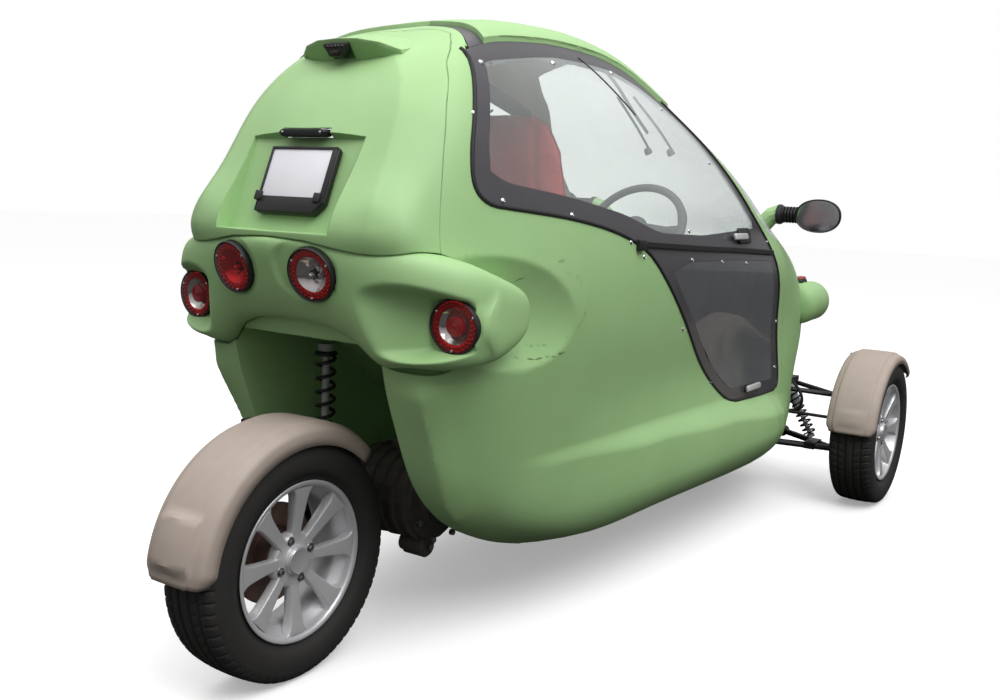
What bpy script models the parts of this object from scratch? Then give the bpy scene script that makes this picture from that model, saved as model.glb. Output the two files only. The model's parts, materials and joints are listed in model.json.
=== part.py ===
# Three wheeled electric car: one driven wheel behind, two steered wheels in front.
# Metres, +Z up, +X forward, +Y to the left. Lengths along X in the tables below are
# measured forward from the rear axle; the last step moves everything so that the
# origin lies on the ground under the middle of the car.

import math

import bmesh
import bpy
import numpy as np
from mathutils import Matrix, Vector

for old in list(bpy.data.objects):
    bpy.data.objects.remove(old, do_unlink=True)

# Finished parts go in the first collection; forms and cutters are made in the second.
car = bpy.data.collections.new("three_wheeled_car")
cutters = bpy.data.collections.new("cutters")
for group in (car, cutters):
    bpy.context.scene.collection.children.link(group)

wheel_base = 2.520
half_track = 0.6875
tyre_radius = 0.284
# From the bead of the tyre to its tread.
sidewall = 0.1058
bead_radius = tyre_radius - sidewall
brake_disc_radius = bead_radius - 0.0582
wheel_segments = 28

# The kingpin stands this far inside the middle of the front tyre, and the mudguards
# keep this far off the tread.
kingpin_inset = 0.1075
rear_mudguard_space = 0.0355
front_mudguard_space = 0.0250
mudguard_skin = 0.005

wall = 0.006
panel_gap = 0.0008
fit_gap = 0.0004

door_top_y = 0.250
roof_rise = 0.010

steering_arm_length = 0.110


def ahead(x):
    # Between the seat and the dashboard the cabin takes up any change of wheel base.
    share = min(max((x - 0.90) / 1.10, 0.0), 1.0)
    return x + (wheel_base - 2.520) * share


rear_axle_x = 0.0136 - wheel_base / 2

# The hull is a stack of hoops that run round the car. Each row is one hoop, with its
# places as (x, distance from the middle plane, z): rear centre, rear quarter, corner,
# seam, pillar, waist, front post, front corner and nose.
hull_hoops = (
    ((0.62, 0, 0.190), (0.62, 0.120, 0.190), (0.64, 0.200, 0.190), (0.72, 0.260, 0.190),
     (0.90, 0.326, 0.190), (1.30, 0.354, 0.192), (2.08, 0.374, 0.178), (2.41, 0.298, 0.186),
     (2.56, 0, 0.196)),
    ((0.36, 0, 0.300), (0.36, 0.120, 0.300), (0.37, 0.225, 0.300), (0.45, 0.303, 0.300),
     (0.65, 0.370, 0.284), (1.20, 0.422, 0.282), (2.13, 0.427, 0.268), (2.48, 0.350, 0.300),
     (2.72, 0, 0.340)),
    ((0.19, 0, 0.450), (0.19, 0.120, 0.450), (0.20, 0.255, 0.450), (0.27, 0.325, 0.450),
     (0.50, 0.382, 0.450), (1.20, 0.426, 0.450), (2.13, 0.420, 0.450), (2.53, 0.352, 0.460),
     (2.80, 0, 0.480)),
    ((0.12, 0, 0.600), (0.12, 0.130, 0.600), (0.13, 0.286, 0.600), (0.20, 0.350, 0.600),
     (0.42, 0.400, 0.600), (1.15, 0.418, 0.600), (2.09, 0.406, 0.600), (2.59, 0.350, 0.610),
     (2.83, 0, 0.620)),
    ((0.07, 0, 0.750), (0.07, 0.150, 0.750), (0.08, 0.320, 0.750), (0.15, 0.378, 0.750),
     (0.36, 0.420, 0.750), (1.10, 0.440, 0.750), (2.09, 0.413, 0.750), (2.57, 0.352, 0.750),
     (2.81, 0, 0.760)),
    ((0.01, 0, 0.900), (0.02, 0.180, 0.900), (0.07, 0.325, 0.900), (0.15, 0.385, 0.900),
     (0.32, 0.430, 0.910), (1.10, 0.450, 0.920), (2.00, 0.428, 0.920), (2.43, 0.345, 0.920),
     (2.68, 0, 0.920)),
    ((-0.06, 0, 1.030), (-0.045, 0.200, 1.030), (0.01, 0.325, 1.035), (0.10, 0.352, 1.040),
     (0.26, 0.400, 1.050), (1.05, 0.440, 1.060), (1.94, 0.392, 1.050), (2.22, 0.318, 1.050),
     (2.46, 0, 1.030)),
    ((-0.01, 0, 1.150), (0.01, 0.170, 1.150), (0.055, 0.285, 1.160), (0.12, 0.330, 1.170),
     (0.25, 0.375, 1.180), (1.00, 0.415, 1.190), (1.83, 0.362, 1.170), (2.02, 0.292, 1.160),
     (2.19, 0, 1.130)),
    ((0.07, 0, 1.280), (0.085, 0.150, 1.285), (0.12, 0.250, 1.290), (0.17, 0.300, 1.310),
     (0.28, 0.340, 1.320), (0.95, 0.372, 1.340), (1.61, 0.314, 1.310), (1.77, 0.248, 1.300),
     (1.92, 0, 1.280)),
    ((0.15, 0, 1.390), (0.16, 0.130, 1.395), (0.20, 0.220, 1.400), (0.25, 0.260, 1.420),
     (0.36, 0.285, 1.440), (0.95, 0.306, 1.460), (1.375, 0.254, 1.430), (1.51, 0.200, 1.430),
     (1.63, 0, 1.430)),
    ((0.27, 0, 1.480), (0.28, 0.100, 1.485), (0.32, 0.170, 1.495), (0.38, 0.200, 1.510),
     (0.50, 0.215, 1.530), (0.95, 0.220, 1.545), (1.25, 0.172, 1.532), (1.34, 0.125, 1.533),
     (1.43, 0, 1.535)),
    ((0.50, 0, 1.555), (0.505, 0.050, 1.556), (0.53, 0.090, 1.558), (0.58, 0.105, 1.565),
     (0.68, 0.110, 1.575), (0.95, 0.110, 1.590), (1.10, 0.080, 1.592), (1.14, 0.050, 1.593),
     (1.18, 0, 1.592)),
)
hull_crown = (0.85, 0, 1.603)
hull_floor = (1.50, 0, 0.188)

# Steps between neighbouring columns and between neighbouring hoops.
column_steps = (1, 2, 1, 2, 2, 3, 2, 2)
hoop_steps = (1, 1, 1, 1, 1, 1, 1, 2, 2, 2, 1)

# The lamp bar as sections from the middle to the pod's end: the point on the outer
# face, the bottom and the top of the section, and how thick it is.
bar_sections = (
    # x, distance from the middle, z of the bottom, z of the top, thickness
    (-0.045, 0.000, 0.834, 1.026, 0.075),
    (-0.040, 0.110, 0.828, 1.026, 0.080),
    (-0.030, 0.190, 0.800, 1.024, 0.090),
    (-0.018, 0.262, 0.742, 1.020, 0.110),
    (0.008, 0.345, 0.738, 1.012, 0.135),
    (0.050, 0.412, 0.738, 1.004, 0.140),
    (0.108, 0.456, 0.744, 0.990, 0.120),
    (0.185, 0.474, 0.756, 0.965, 0.095),
    (0.265, 0.470, 0.785, 0.938, 0.070),
    (0.330, 0.456, 0.822, 0.902, 0.040),
)

# The visor over the rear: its lip and the foot of its underside, out from the middle.
visor_sections = (
    # distance from the middle, x and z of the lip, x and z of the foot
    (0.000, 0.150, 1.471, 0.186, 1.424),
    (0.060, 0.152, 1.469, 0.187, 1.424),
    (0.112, 0.170, 1.461, 0.196, 1.427),
    (0.150, 0.200, 1.447, 0.214, 1.434),
)

# Panel outlines in the side view, as (x, z).
tail_seam = (
    (0.100, 0.900), (0.100, 1.040), (0.115, 1.120), (0.140, 1.217), (0.178, 1.320),
    (0.240, 1.420), (0.330, 1.495), (0.445, 1.545), (0.470, 1.700),
)
door_outline = (
    (0.300, 1.700), (0.300, 1.440), (0.245, 1.330), (0.205, 1.230), (0.195, 1.150),
    (0.230, 1.112), (0.300, 1.105), (0.530, 1.087), (0.740, 1.055), (0.900, 1.010),
    (1.000, 0.950), (1.180, 0.810), (1.350, 0.680), (1.520, 0.560), (1.630, 0.495),
    (1.720, 0.470), (2.140, 0.455), (2.185, 0.490), (2.160, 0.620), (2.100, 0.800),
    (2.020, 0.960), (1.950, 1.050), (1.820, 1.140), (1.600, 1.290), (1.400, 1.420),
    (1.220, 1.500), (1.160, 1.700),
)

materials = (
    # name, linear colour, roughness, metallic, transmission
    ("green rotomoulded polyethylene", (0.23, 0.48, 0.17), 0.55, 0.0, 0.0),
    ("clear polycarbonate", (0.85, 0.88, 0.86), 0.05, 0.0, 0.9),
    ("tinted polycarbonate", (0.10, 0.10, 0.11), 0.05, 0.0, 0.5),
    ("black door border", (0.02, 0.02, 0.022), 0.35, 0.0, 0.0),
    ("red lamp lens", (0.45, 0.01, 0.015), 0.10, 0.0, 0.0),
    ("clear lamp lens", (0.70, 0.70, 0.70), 0.08, 0.0, 0.0),
    ("black plastic", (0.015, 0.015, 0.017), 0.45, 0.0, 0.0),
    ("taupe mudguard plastic", (0.36, 0.31, 0.26), 0.60, 0.0, 0.0),
    ("tyre rubber", (0.012, 0.012, 0.013), 0.80, 0.0, 0.0),
    ("cast aluminium", (0.60, 0.61, 0.62), 0.30, 1.0, 0.0),
    ("painted steel", (0.02, 0.02, 0.02), 0.45, 0.0, 0.0),
    ("motor housing", (0.20, 0.20, 0.20), 0.50, 0.8, 0.0),
    ("red seat", (0.50, 0.02, 0.02), 0.80, 0.0, 0.0),
    ("grey interior plastic", (0.08, 0.09, 0.09), 0.60, 0.0, 0.0),
    ("battery case", (0.05, 0.05, 0.06), 0.60, 0.0, 0.0),
)



def make_materials():
    made = {}
    for name, colour, roughness, metallic, transmission in materials:
        item = bpy.data.materials.new(name)
        item.use_nodes = True
        shader = item.node_tree.nodes["Principled BSDF"]
        shader.inputs["Base Color"].default_value = (*colour, 1.0)
        shader.inputs["Roughness"].default_value = roughness
        shader.inputs["Metallic"].default_value = metallic
        shader.inputs["Transmission Weight"].default_value = transmission
        made[name] = item
    return made


def add_mesh(name, bm):
    bmesh.ops.remove_doubles(bm, verts=bm.verts, dist=1e-6)
    bmesh.ops.recalc_face_normals(bm, faces=bm.faces)
    mesh = bpy.data.meshes.new(name)
    bm.to_mesh(mesh)
    bm.free()
    item = bpy.data.objects.new(name, mesh)
    cutters.objects.link(item)
    return item


def solid(name, vertices, faces):
    bm = bmesh.new()
    points = [bm.verts.new(place) for place in vertices]
    for face in faces:
        bm.faces.new([points[i] for i in face])
    return add_mesh(name, bm)


def as_mesh(item):
    # The curve, or the mesh with its modifiers, as one closed mesh in its place.
    bpy.context.view_layer.update()
    graph = bpy.context.evaluated_depsgraph_get()
    mesh = bpy.data.meshes.new_from_object(item.evaluated_get(graph))
    mesh.transform(item.matrix_world)
    name = item.name
    bpy.data.objects.remove(item)
    bm = bmesh.new()
    bm.from_mesh(mesh)
    bpy.data.meshes.remove(mesh)
    return add_mesh(name, bm)


def copy_of(item, name):
    other = bpy.data.objects.new(name, item.data.copy())
    cutters.objects.link(other)
    return other


def drop(item):
    mesh = item.data
    bpy.data.objects.remove(item)
    bpy.data.meshes.remove(mesh)


def combine(item, other, operation, keep=False):
    modifier = item.modifiers.new(operation, "BOOLEAN")
    modifier.operation = operation
    modifier.solver = "EXACT"
    modifier.object = other
    bpy.context.view_layer.update()
    graph = bpy.context.evaluated_depsgraph_get()
    mesh = bpy.data.meshes.new_from_object(item.evaluated_get(graph))
    item.modifiers.clear()
    old = item.data
    item.data = mesh
    mesh.name = item.name
    bpy.data.meshes.remove(old)
    bm = bmesh.new()
    bm.from_mesh(mesh)
    bmesh.ops.remove_doubles(bm, verts=bm.verts, dist=2e-6)
    bmesh.ops.dissolve_degenerate(bm, edges=bm.edges, dist=2e-6)
    bm.to_mesh(mesh)
    bm.free()
    if not keep:
        drop(other)
    return item


def cut(item, other, keep=False):
    return combine(item, other, "DIFFERENCE", keep)


def join(item, other, keep=False):
    return combine(item, other, "UNION", keep)


def common(item, other, keep=False):
    return combine(item, other, "INTERSECT", keep)


def largest_piece(item):
    bm = bmesh.new()
    bm.from_mesh(item.data)
    left = set(bm.verts)
    groups = []
    while left:
        start = left.pop()
        group = {start}
        stack = [start]
        while stack:
            vertex = stack.pop()
            for edge in vertex.link_edges:
                other = edge.other_vert(vertex)
                if other not in group:
                    group.add(other)
                    stack.append(other)
        left -= group
        groups.append(group)
    groups.sort(key=len)
    for group in groups[:-1]:
        bmesh.ops.delete(bm, geom=list(group), context="VERTS")
    bm.to_mesh(item.data)
    bm.free()
    return item


def between(low, high):
    return (low, high) if low < high else (high, low)


def box(name, low, high):
    low = Vector(low)
    high = Vector(high)
    bm = bmesh.new()
    place = Matrix.LocRotScale((low + high) / 2, None, high - low)
    bmesh.ops.create_cube(bm, size=1.0, matrix=place)
    return add_mesh(name, bm)


def rod(name, start, end, radius, segments=12, end_radius=None):
    start = Vector(start)
    end = Vector(end)
    along = (end - start).normalized()
    helper = Vector((0, 0, 1)) if abs(along.z) < 0.9 else Vector((1, 0, 0))
    side = along.cross(helper).normalized()
    turn = Matrix((side.cross(along), side, along)).transposed().to_4x4()
    bm = bmesh.new()
    bmesh.ops.create_cone(
        bm, cap_ends=True, segments=segments, radius1=radius, radius2=end_radius or radius,
        depth=(end - start).length, matrix=Matrix.Translation((start + end) / 2) @ turn,
    )
    return add_mesh(name, bm)


def ring_rod(name, centre, axis, ring_radius, radius):
    turn = Vector(axis).to_track_quat("Z", "Y").to_euler()
    bpy.ops.mesh.primitive_torus_add(
        major_segments=24, minor_segments=6, major_radius=ring_radius, minor_radius=radius,
        location=centre, rotation=turn,
    )
    item = bpy.context.object
    item.name = name
    return as_mesh(item)


def tube(name, points, radius, segments=8):
    curve = bpy.data.curves.new(name, "CURVE")
    curve.dimensions = "3D"
    curve.bevel_depth = radius
    curve.bevel_resolution = (segments - 4) // 2
    curve.use_fill_caps = True
    line = curve.splines.new("POLY")
    line.points.add(len(points) - 1)
    for point, place in zip(line.points, points):
        point.co = (*place, 1.0)
    item = bpy.data.objects.new(name, curve)
    cutters.objects.link(item)
    return as_mesh(item)


def prism(name, outline, low, high, axis="y"):
    # A flat outline, (x, z) for axis y or (x, y) for axis z, with a thickness.
    curve = bpy.data.curves.new(name, "CURVE")
    curve.dimensions = "2D"
    curve.fill_mode = "BOTH"
    curve.extrude = (high - low) / 2
    line = curve.splines.new("POLY")
    line.points.add(len(outline) - 1)
    for point, (a, b) in zip(line.points, outline):
        point.co = (a, b, 0.0, 1.0)
    line.use_cyclic_u = True
    item = bpy.data.objects.new(name, curve)
    cutters.objects.link(item)
    if axis == "y":
        item.rotation_euler = (math.radians(90), 0, 0)
        item.location = (0, (low + high) / 2, 0)
    else:
        item.location = (0, 0, (low + high) / 2)
    return as_mesh(item)


def profile_object(name, profile, closed):
    # A profile of (along the axis, radius) in the plane of X and Y, to turn about Y.
    bm = bmesh.new()
    corners = [bm.verts.new((radius, along, 0.0)) for along, radius in profile]
    for first, second in zip(corners, corners[1:] + corners[:1] if closed else corners[1:]):
        if first.co.x > 0 or second.co.x > 0:
            bm.edges.new((first, second))
    mesh = bpy.data.meshes.new(name)
    bm.to_mesh(mesh)
    bm.free()
    item = bpy.data.objects.new(name, mesh)
    cutters.objects.link(item)
    return item


def screwed(item, degrees, steps):
    screw = item.modifiers.new("turned", "SCREW")
    screw.axis = "Y"
    screw.angle = math.radians(degrees)
    screw.steps = steps
    screw.render_steps = steps
    screw.use_merge_vertices = degrees == 360
    screw.merge_threshold = 0.00001
    return item


def turned(name, profile, centre, segments):
    item = screwed(profile_object(name, profile, True), 360, segments)
    item.location = centre
    return as_mesh(item)


def rounded(item, width, segments):
    bevel = item.modifiers.new("rounded", "BEVEL")
    bevel.width = width
    bevel.segments = segments
    bevel.limit_method = "ANGLE"
    return as_mesh(item)


def loft(name, rings):
    # Closed rings with the same number of points, with a flat cap at both ends.
    count = len(rings[0])
    vertices = [p for ring in rings for p in ring]
    faces = []
    for k in range(len(rings) - 1):
        for i in range(count):
            j = (i + 1) % count
            a = k * count
            b = a + count
            faces.append((a + i, a + j, b + j))
            faces.append((a + i, b + j, b + i))
    faces.append(tuple(range(count)))
    last = (len(rings) - 1) * count
    faces.append(tuple(range(last, last + count)))
    return solid(name, vertices, faces)


def flip(item):
    item.data.transform(Matrix.Scale(-1, 4, (0, 1, 0)))
    item.data.flip_normals()


def mirrored(item, name):
    other = copy_of(item, name)
    flip(other)
    return other


def tilted(item, degrees, axis, centre):
    centre = Vector(centre)
    turn = Matrix.Rotation(math.radians(degrees), 4, axis)
    item.data.transform(Matrix.Translation(centre) @ turn @ Matrix.Translation(-centre))
    return item



def spline(points, steps, closed):
    # Cubic spline through the points, with a fixed number of steps in each interval.
    points = np.array(points, float)
    count = len(points)
    if closed:
        spans = np.linalg.norm(np.roll(points, -1, 0) - points, axis=1) ** 0.5
        system = np.zeros((count, count))
        right = np.zeros((count, 3))
        for i in range(count):
            before = spans[i - 1]
            after = spans[i]
            system[i, i - 1] += before
            system[i, i] += 2 * (before + after)
            system[i, (i + 1) % count] += after
            right[i] = 6 * ((points[(i + 1) % count] - points[i]) / after
                            - (points[i] - points[i - 1]) / before)
    else:
        spans = np.maximum(np.linalg.norm(points[1:] - points[:-1], axis=1), 1e-6) ** 0.5
        system = np.eye(count)
        right = np.zeros((count, 3))
        for i in range(1, count - 1):
            before = spans[i - 1]
            after = spans[i]
            system[i, i - 1] = before
            system[i, i] = 2 * (before + after)
            system[i, i + 1] = after
            right[i] = 6 * ((points[i + 1] - points[i]) / after
                            - (points[i] - points[i - 1]) / before)
    bend = np.linalg.solve(system, right)
    curve = []
    intervals = count if closed else count - 1
    for i in range(intervals):
        j = (i + 1) % count
        span = spans[i]
        for k in range(steps[i]):
            t = span * k / steps[i]
            rest = span - t
            curve.append(
                bend[i] * rest ** 3 / (6 * span) + bend[j] * t ** 3 / (6 * span)
                + (points[i] / span - bend[i] * span / 6) * rest
                + (points[j] / span - bend[j] * span / 6) * t
            )
    if not closed:
        curve.append(points[-1])
    return np.array(curve)


def hull_grid():
    rings = []
    steps = list(column_steps) + list(reversed(column_steps))
    for hoop in hull_hoops:
        right = [(ahead(x), -y, z) for x, y, z in hoop]
        left = [(ahead(x), y, z) for x, y, z in reversed(hoop[1:-1])]
        rings.append(spline(right + left, steps, True))
    rings = np.array(rings)
    columns = []
    for i in range(rings.shape[1]):
        columns.append(spline(rings[:, i], hoop_steps, False))
    return np.array(columns).transpose(1, 0, 2)


def hull_solid(name, inset):
    grid = hull_grid()
    rows, around, _ = grid.shape
    vertices = [tuple(p) for p in grid.reshape(-1, 3)]
    faces = []
    for r in range(rows - 1):
        for i in range(around):
            j = (i + 1) % around
            faces.append((r * around + i, r * around + j, (r + 1) * around + j,
                          (r + 1) * around + i))
    floor_index = len(vertices)
    vertices.append((ahead(hull_floor[0]), hull_floor[1], hull_floor[2]))
    crown_index = len(vertices)
    vertices.append(hull_crown)
    top = (rows - 1) * around
    for i in range(around):
        j = (i + 1) % around
        faces.append((floor_index, j, i))
        faces.append((crown_index, top + i, top + j))
    item = solid(name, vertices, faces)
    bm = bmesh.new()
    bm.from_mesh(item.data)
    bmesh.ops.triangulate(bm, faces=bm.faces)
    bm.normal_update()
    if inset:
        moved = []
        for vertex in bm.verts:
            direction = Vector((0, 0, 0))
            for face in vertex.link_faces:
                direction += face.normal * face.calc_area()
            direction.normalize()
            moved.append(vertex.co - direction * inset)
        for vertex, place in zip(bm.verts, moved):
            vertex.co = place
    bm.to_mesh(item.data)
    bm.free()
    return item


def bar_form(name, grow):
    # The lamp bar wraps the tail; the sections lie square to the path of its face.
    half = [Vector((x, -y, 0)) for x, y, _, _, _ in bar_sections]
    path = list(reversed(half)) + [Vector((p.x, -p.y, 0)) for p in half[1:]]
    sizes = list(reversed(bar_sections)) + list(bar_sections[1:])
    rings = []
    for k, (place, (_, _, bottom, top, depth)) in enumerate(zip(path, sizes)):
        before = path[max(k - 1, 0)]
        after = path[min(k + 1, len(path) - 1)]
        along = (after - before).normalized()
        inward = Vector((-along.y, along.x, 0))
        if inward.dot(Vector((0.6, 0, 0)) - place) < 0:
            inward = -inward
        if k == 0:
            place = place - along * grow
        elif k == len(path) - 1:
            place = place + along * grow
        lean = 0.36 * max(0.0, 1.0 - abs(place.y) / 0.45)
        ring = []
        middle = (bottom + top) / 2
        for i in range(12):
            turn = 2 * math.pi * (i + 0.5) / 12
            # Rounder below than above.
            power = 0.6 if turn < math.pi else 0.9
            out = math.copysign(abs(math.cos(turn)) ** power, math.cos(turn))
            up = math.copysign(abs(math.sin(turn)) ** power, math.sin(turn))
            height = middle + up * ((top - bottom) / 2 + grow)
            depth_here = depth / 2 - out * (depth / 2 + grow)
            shift = -lean * (height - 0.930)
            ring.append(Vector((place.x + shift, place.y, height)) + inward * depth_here)
        rings.append(ring)
    return loft(name, rings)


def well_form(name, grow):
    # Room for the rear wheel between the two sides of the tub.
    outline = (
        (-0.300, 0.050), (-0.300, 0.800 + grow), (0.020, 0.800 + grow),
        (0.330 + grow, 0.740 + grow), (0.640 + grow, 0.560 + grow), (0.760 + grow, 0.300),
        (0.780 + grow, 0.050),
    )
    return prism(name, outline, -0.232 - grow, 0.232 + grow)


def plate_recess_form(name, grow):
    outline = (
        (-0.300, 1.034 - grow), (-0.010 + grow, 1.034 - grow), (0.072 + grow, 1.240 + grow),
        (0.050 + grow, 1.262 + grow), (-0.300, 1.262 + grow),
    )
    item = prism(name, outline, -0.170 - grow, 0.170 + grow)
    return item


def flank_recess_form(name, sign, grow):
    # A shallow dish in the flank round the end of the lamp bar.
    rings = []
    for degrees in (7, 15, 23, 31, 38):
        out = math.sin(math.radians(degrees))
        deep = math.cos(math.radians(degrees))
        ring = []
        for i in range(18):
            angle = 2 * math.pi * i / 18
            ring.append(Vector((0.372 + (0.430 + grow) * out * math.cos(angle),
                                sign * (0.600 - (0.193 + grow) * deep),
                                0.862 + (0.245 + grow) * out * math.sin(angle))))
        rings.append(ring)
    rings.append([Vector((p.x, sign * 0.600, p.z)) for p in rings[-1]])
    return loft(name, rings)


def visor_form(name):
    half = list(visor_sections)
    rings = []
    for y, lip_x, lip_z, foot_x, foot_z in half[:0:-1] + half:
        sign = -1 if len(rings) < len(half) - 1 else 1
        place = sign * y
        rings.append([
            Vector((lip_x, place, lip_z)),
            Vector((lip_x + 0.003, place, lip_z - 0.008)),
            Vector((foot_x, place, foot_z)),
            Vector((foot_x + 0.045, place, foot_z + 0.008)),
            Vector((lip_x + 0.145, place, lip_z + 0.018)),
            Vector((lip_x + 0.100, place, lip_z + 0.021)),
        ])
    return loft(name, rings)


def brake_lamp_form(name, grow):
    outline = ((0.142, 1.440), (0.150, 1.4605), (0.190, 1.4605), (0.190, 1.430), (0.158, 1.430))
    return prism(name, grown_outline(outline, grow), -0.034 - grow, 0.034 + grow)


def make_shell():
    outer = hull_solid("outer", 0.0)
    inner = hull_solid("inner", wall)
    for form in (plate_recess_form, well_form, bar_form):
        cut(outer, form("form", panel_gap if form is bar_form else 0.0))
        cut(inner, form("form", wall + (panel_gap if form is bar_form else 0.0)))
    for sign in (-1, 1):
        cut(outer, flank_recess_form("form", sign, 0.0))
        cut(inner, flank_recess_form("form", sign, wall))
    join(outer, visor_form("visor"))
    return cut(outer, inner)


def grown_outline(outline, amount):
    # The same outline with every side moved out by the amount.
    area = 0.0
    count = len(outline)
    for i in range(count):
        x1, z1 = outline[i]
        x2, z2 = outline[(i + 1) % count]
        area += x1 * z2 - x2 * z1
    sign = 1.0 if area > 0 else -1.0
    grown = []
    for i in range(count):
        before = Vector(outline[i - 1])
        here = Vector(outline[i])
        after = Vector(outline[(i + 1) % count])
        first = (here - before).normalized()
        second = (after - here).normalized()
        n1 = Vector((first.y, -first.x)) * sign
        n2 = Vector((second.y, -second.x)) * sign
        middle = (n1 + n2).normalized()
        reach = amount / max(0.35, middle.dot(n1))
        place = here + middle * reach
        grown.append((place.x, place.y))
    return grown


def placed(outline):
    return tuple((ahead(x), other) for x, other in outline)


tail_outline = tuple(tail_seam) + ((-0.500, 1.700), (-0.500, 0.900))

windscreen_outline = (
    (1.290, 1.700), (1.290, 1.520), (1.450, 1.435), (1.650, 1.305), (1.870, 1.155),
    (2.010, 1.050), (2.150, 1.010), (2.460, 0.985), (2.700, 0.985), (2.700, 1.700),
)

# In the plan view: the rear edge of the roof panel, and the front edge of the rear hoop.
roof_edge = ((0.378, door_top_y), (0.402, 0.200), (0.434, 0.130), (0.462, 0.060), (0.498, 0.0))
hoop_edge = ((0.322, door_top_y), (0.368, 0.190), (0.415, 0.115), (0.444, 0.050), (0.480, 0.0))


def both_sides(edge):
    return tuple(edge) + tuple((x, -y) for x, y in edge[-2::-1])


roof_outline = both_sides(roof_edge) + ((1.400, -door_top_y), (1.400, door_top_y))
strip_outline = both_sides(hoop_edge) + both_sides(roof_edge)[::-1]

nose_outline = (
    (2.235, 0.100), (2.235, 0.480), (2.200, 0.700), (2.140, 0.850), (2.060, 0.985),
    (2.060, 1.400), (3.100, 1.400), (3.100, 0.100),
)


def build_body(named):
    shell = make_shell()
    window_start = wheel_base - steering_arm_length - 0.018
    cut(shell, box("arm window", (window_start, -0.6, 0.100),
                   (wheel_base + 0.170, 0.6, tyre_radius + 0.186)))
    cut(shell, plate_lamp_form("lamp", fit_gap))
    cut(shell, brake_lamp_form("lamp", fit_gap))
    for sign in (-1, 1):
        low, high = between(sign * 0.1896, sign * 0.2144)
        cut(shell, box("ear slot", (0.700, low, 0.2896), (0.900, high, 0.3704)))
        cut(shell, headlamp_form("lamp", sign, fit_gap))
        cut(shell, mirror_arm_form("arm", sign, fit_gap))

    # Each panel is the shell inside one outline; the rest keeps clear of it by a gap.
    body = copy_of(shell, "body_shell")
    doors = placed(door_outline)
    screen = placed(windscreen_outline)
    nose_area = placed(nose_outline)
    roof_area = placed(roof_outline)

    tail = copy_of(shell, "tail_shell")
    common(tail, prism("region", tail_outline, -0.6, 0.6))
    cut(body, prism("region", grown_outline(tail_outline, panel_gap), -0.6, 0.6))
    largest_piece(tail)
    named["tail_shell"] = (tail, "green rotomoulded polyethylene")

    for side, sign in (("right", -1), ("left", 1)):
        low, high = between(sign * (door_top_y + panel_gap), sign * 0.9)
        door = copy_of(shell, "door sheet")
        common(door, prism("region", doors, low, high))
        low, high = between(sign * door_top_y, sign * 0.9)
        cut(body, prism("region", grown_outline(doors, 0.004), low, high))
        largest_piece(door)
        build_door(named, side, sign, door)

    windscreen = copy_of(shell, "windscreen")
    common(windscreen, prism("region", screen, -0.6, 0.6))
    for sign in (-1, 1):
        low, high = between(sign * door_top_y, sign * 0.9)
        cut(windscreen, prism("region", grown_outline(doors, 0.004), low, high))
    cut(body, prism("region", grown_outline(screen, panel_gap), -0.6, 0.6))
    largest_piece(windscreen)
    named["windscreen"] = (windscreen, "clear polycarbonate")

    strip = copy_of(shell, "roof_strip")
    common(strip, prism("region", strip_outline, 1.3, 1.7, "z"))
    cut(body, prism("region", grown_outline(strip_outline, panel_gap), 1.3, 1.7, "z"))
    cut(strip, prism("region", grown_outline(tail_outline, panel_gap), -0.6, 0.6))
    cut(strip, prism("region", grown_outline(roof_area, panel_gap), 1.3, 1.7, "z"))
    largest_piece(strip)
    named["roof_strip"] = (strip, "black door border")

    # The roof panel stands a little above the rest of the hull.
    roof = hull_solid("roof_panel", -roof_rise)
    cut(roof, hull_solid("inner", wall))
    common(roof, prism("region", roof_area, 1.3, 1.7, "z"))
    cut(roof, prism("region", grown_outline(screen, panel_gap), -0.6, 0.6))
    cut(body, prism("region", grown_outline(roof_area, panel_gap), 1.3, 1.7, "z"))
    largest_piece(roof)
    named["roof_panel"] = (roof, "green rotomoulded polyethylene")

    nose = copy_of(shell, "nose_panel")
    common(nose, prism("region", nose_area, -0.6, 0.6))
    cut(nose, prism("region", grown_outline(screen, panel_gap), -0.6, 0.6))
    cut(body, prism("region", grown_outline(nose_area, panel_gap), -0.6, 0.6))
    largest_piece(nose)
    named["nose_panel"] = (nose, "green rotomoulded polyethylene")

    largest_piece(body)
    named["body_shell"] = (body, "green rotomoulded polyethylene")
    drop(shell)


door_window = (
    (0.335, 1.700), (0.335, 1.425), (0.290, 1.330), (0.255, 1.240), (0.250, 1.185),
    (0.290, 1.160), (0.540, 1.135), (0.790, 1.098), (0.990, 1.050), (1.300, 1.040),
    (1.830, 1.060), (1.840, 1.085), (1.600, 1.250), (1.400, 1.380), (1.180, 1.455),
    (1.130, 1.700),
)
door_lower_window = (
    (1.090, 0.935), (1.230, 0.820), (1.400, 0.695), (1.560, 0.590), (1.680, 0.520),
    (2.120, 0.500), (2.105, 0.620), (2.055, 0.790), (1.975, 0.945), (1.600, 0.960),
    (1.200, 0.965),
)


def build_door(named, side, sign, sheet):
    inner = door_top_y + 0.035
    low, high = between(sign * inner, sign * 0.9)
    window = placed(door_window)
    pane = placed(door_lower_window)
    upper = copy_of(sheet, "door_window_" + side)
    clear_low, clear_high = between(sign * (inner + fit_gap), sign * 0.9)
    common(upper, prism("region", grown_outline(window, -fit_gap), clear_low, clear_high))
    largest_piece(upper)
    lower = copy_of(sheet, "door_lower_pane_" + side)
    common(lower, prism("region", grown_outline(pane, -fit_gap), low, high))
    largest_piece(lower)
    cut(sheet, prism("region", window, low, high))
    cut(sheet, prism("region", pane, low, high))
    largest_piece(sheet)
    sheet.name = "door_" + side
    named["door_" + side] = (sheet, "black door border")
    named["door_window_" + side] = (upper, "clear polycarbonate")
    named["door_lower_pane_" + side] = (lower, "tinted polycarbonate")


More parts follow.
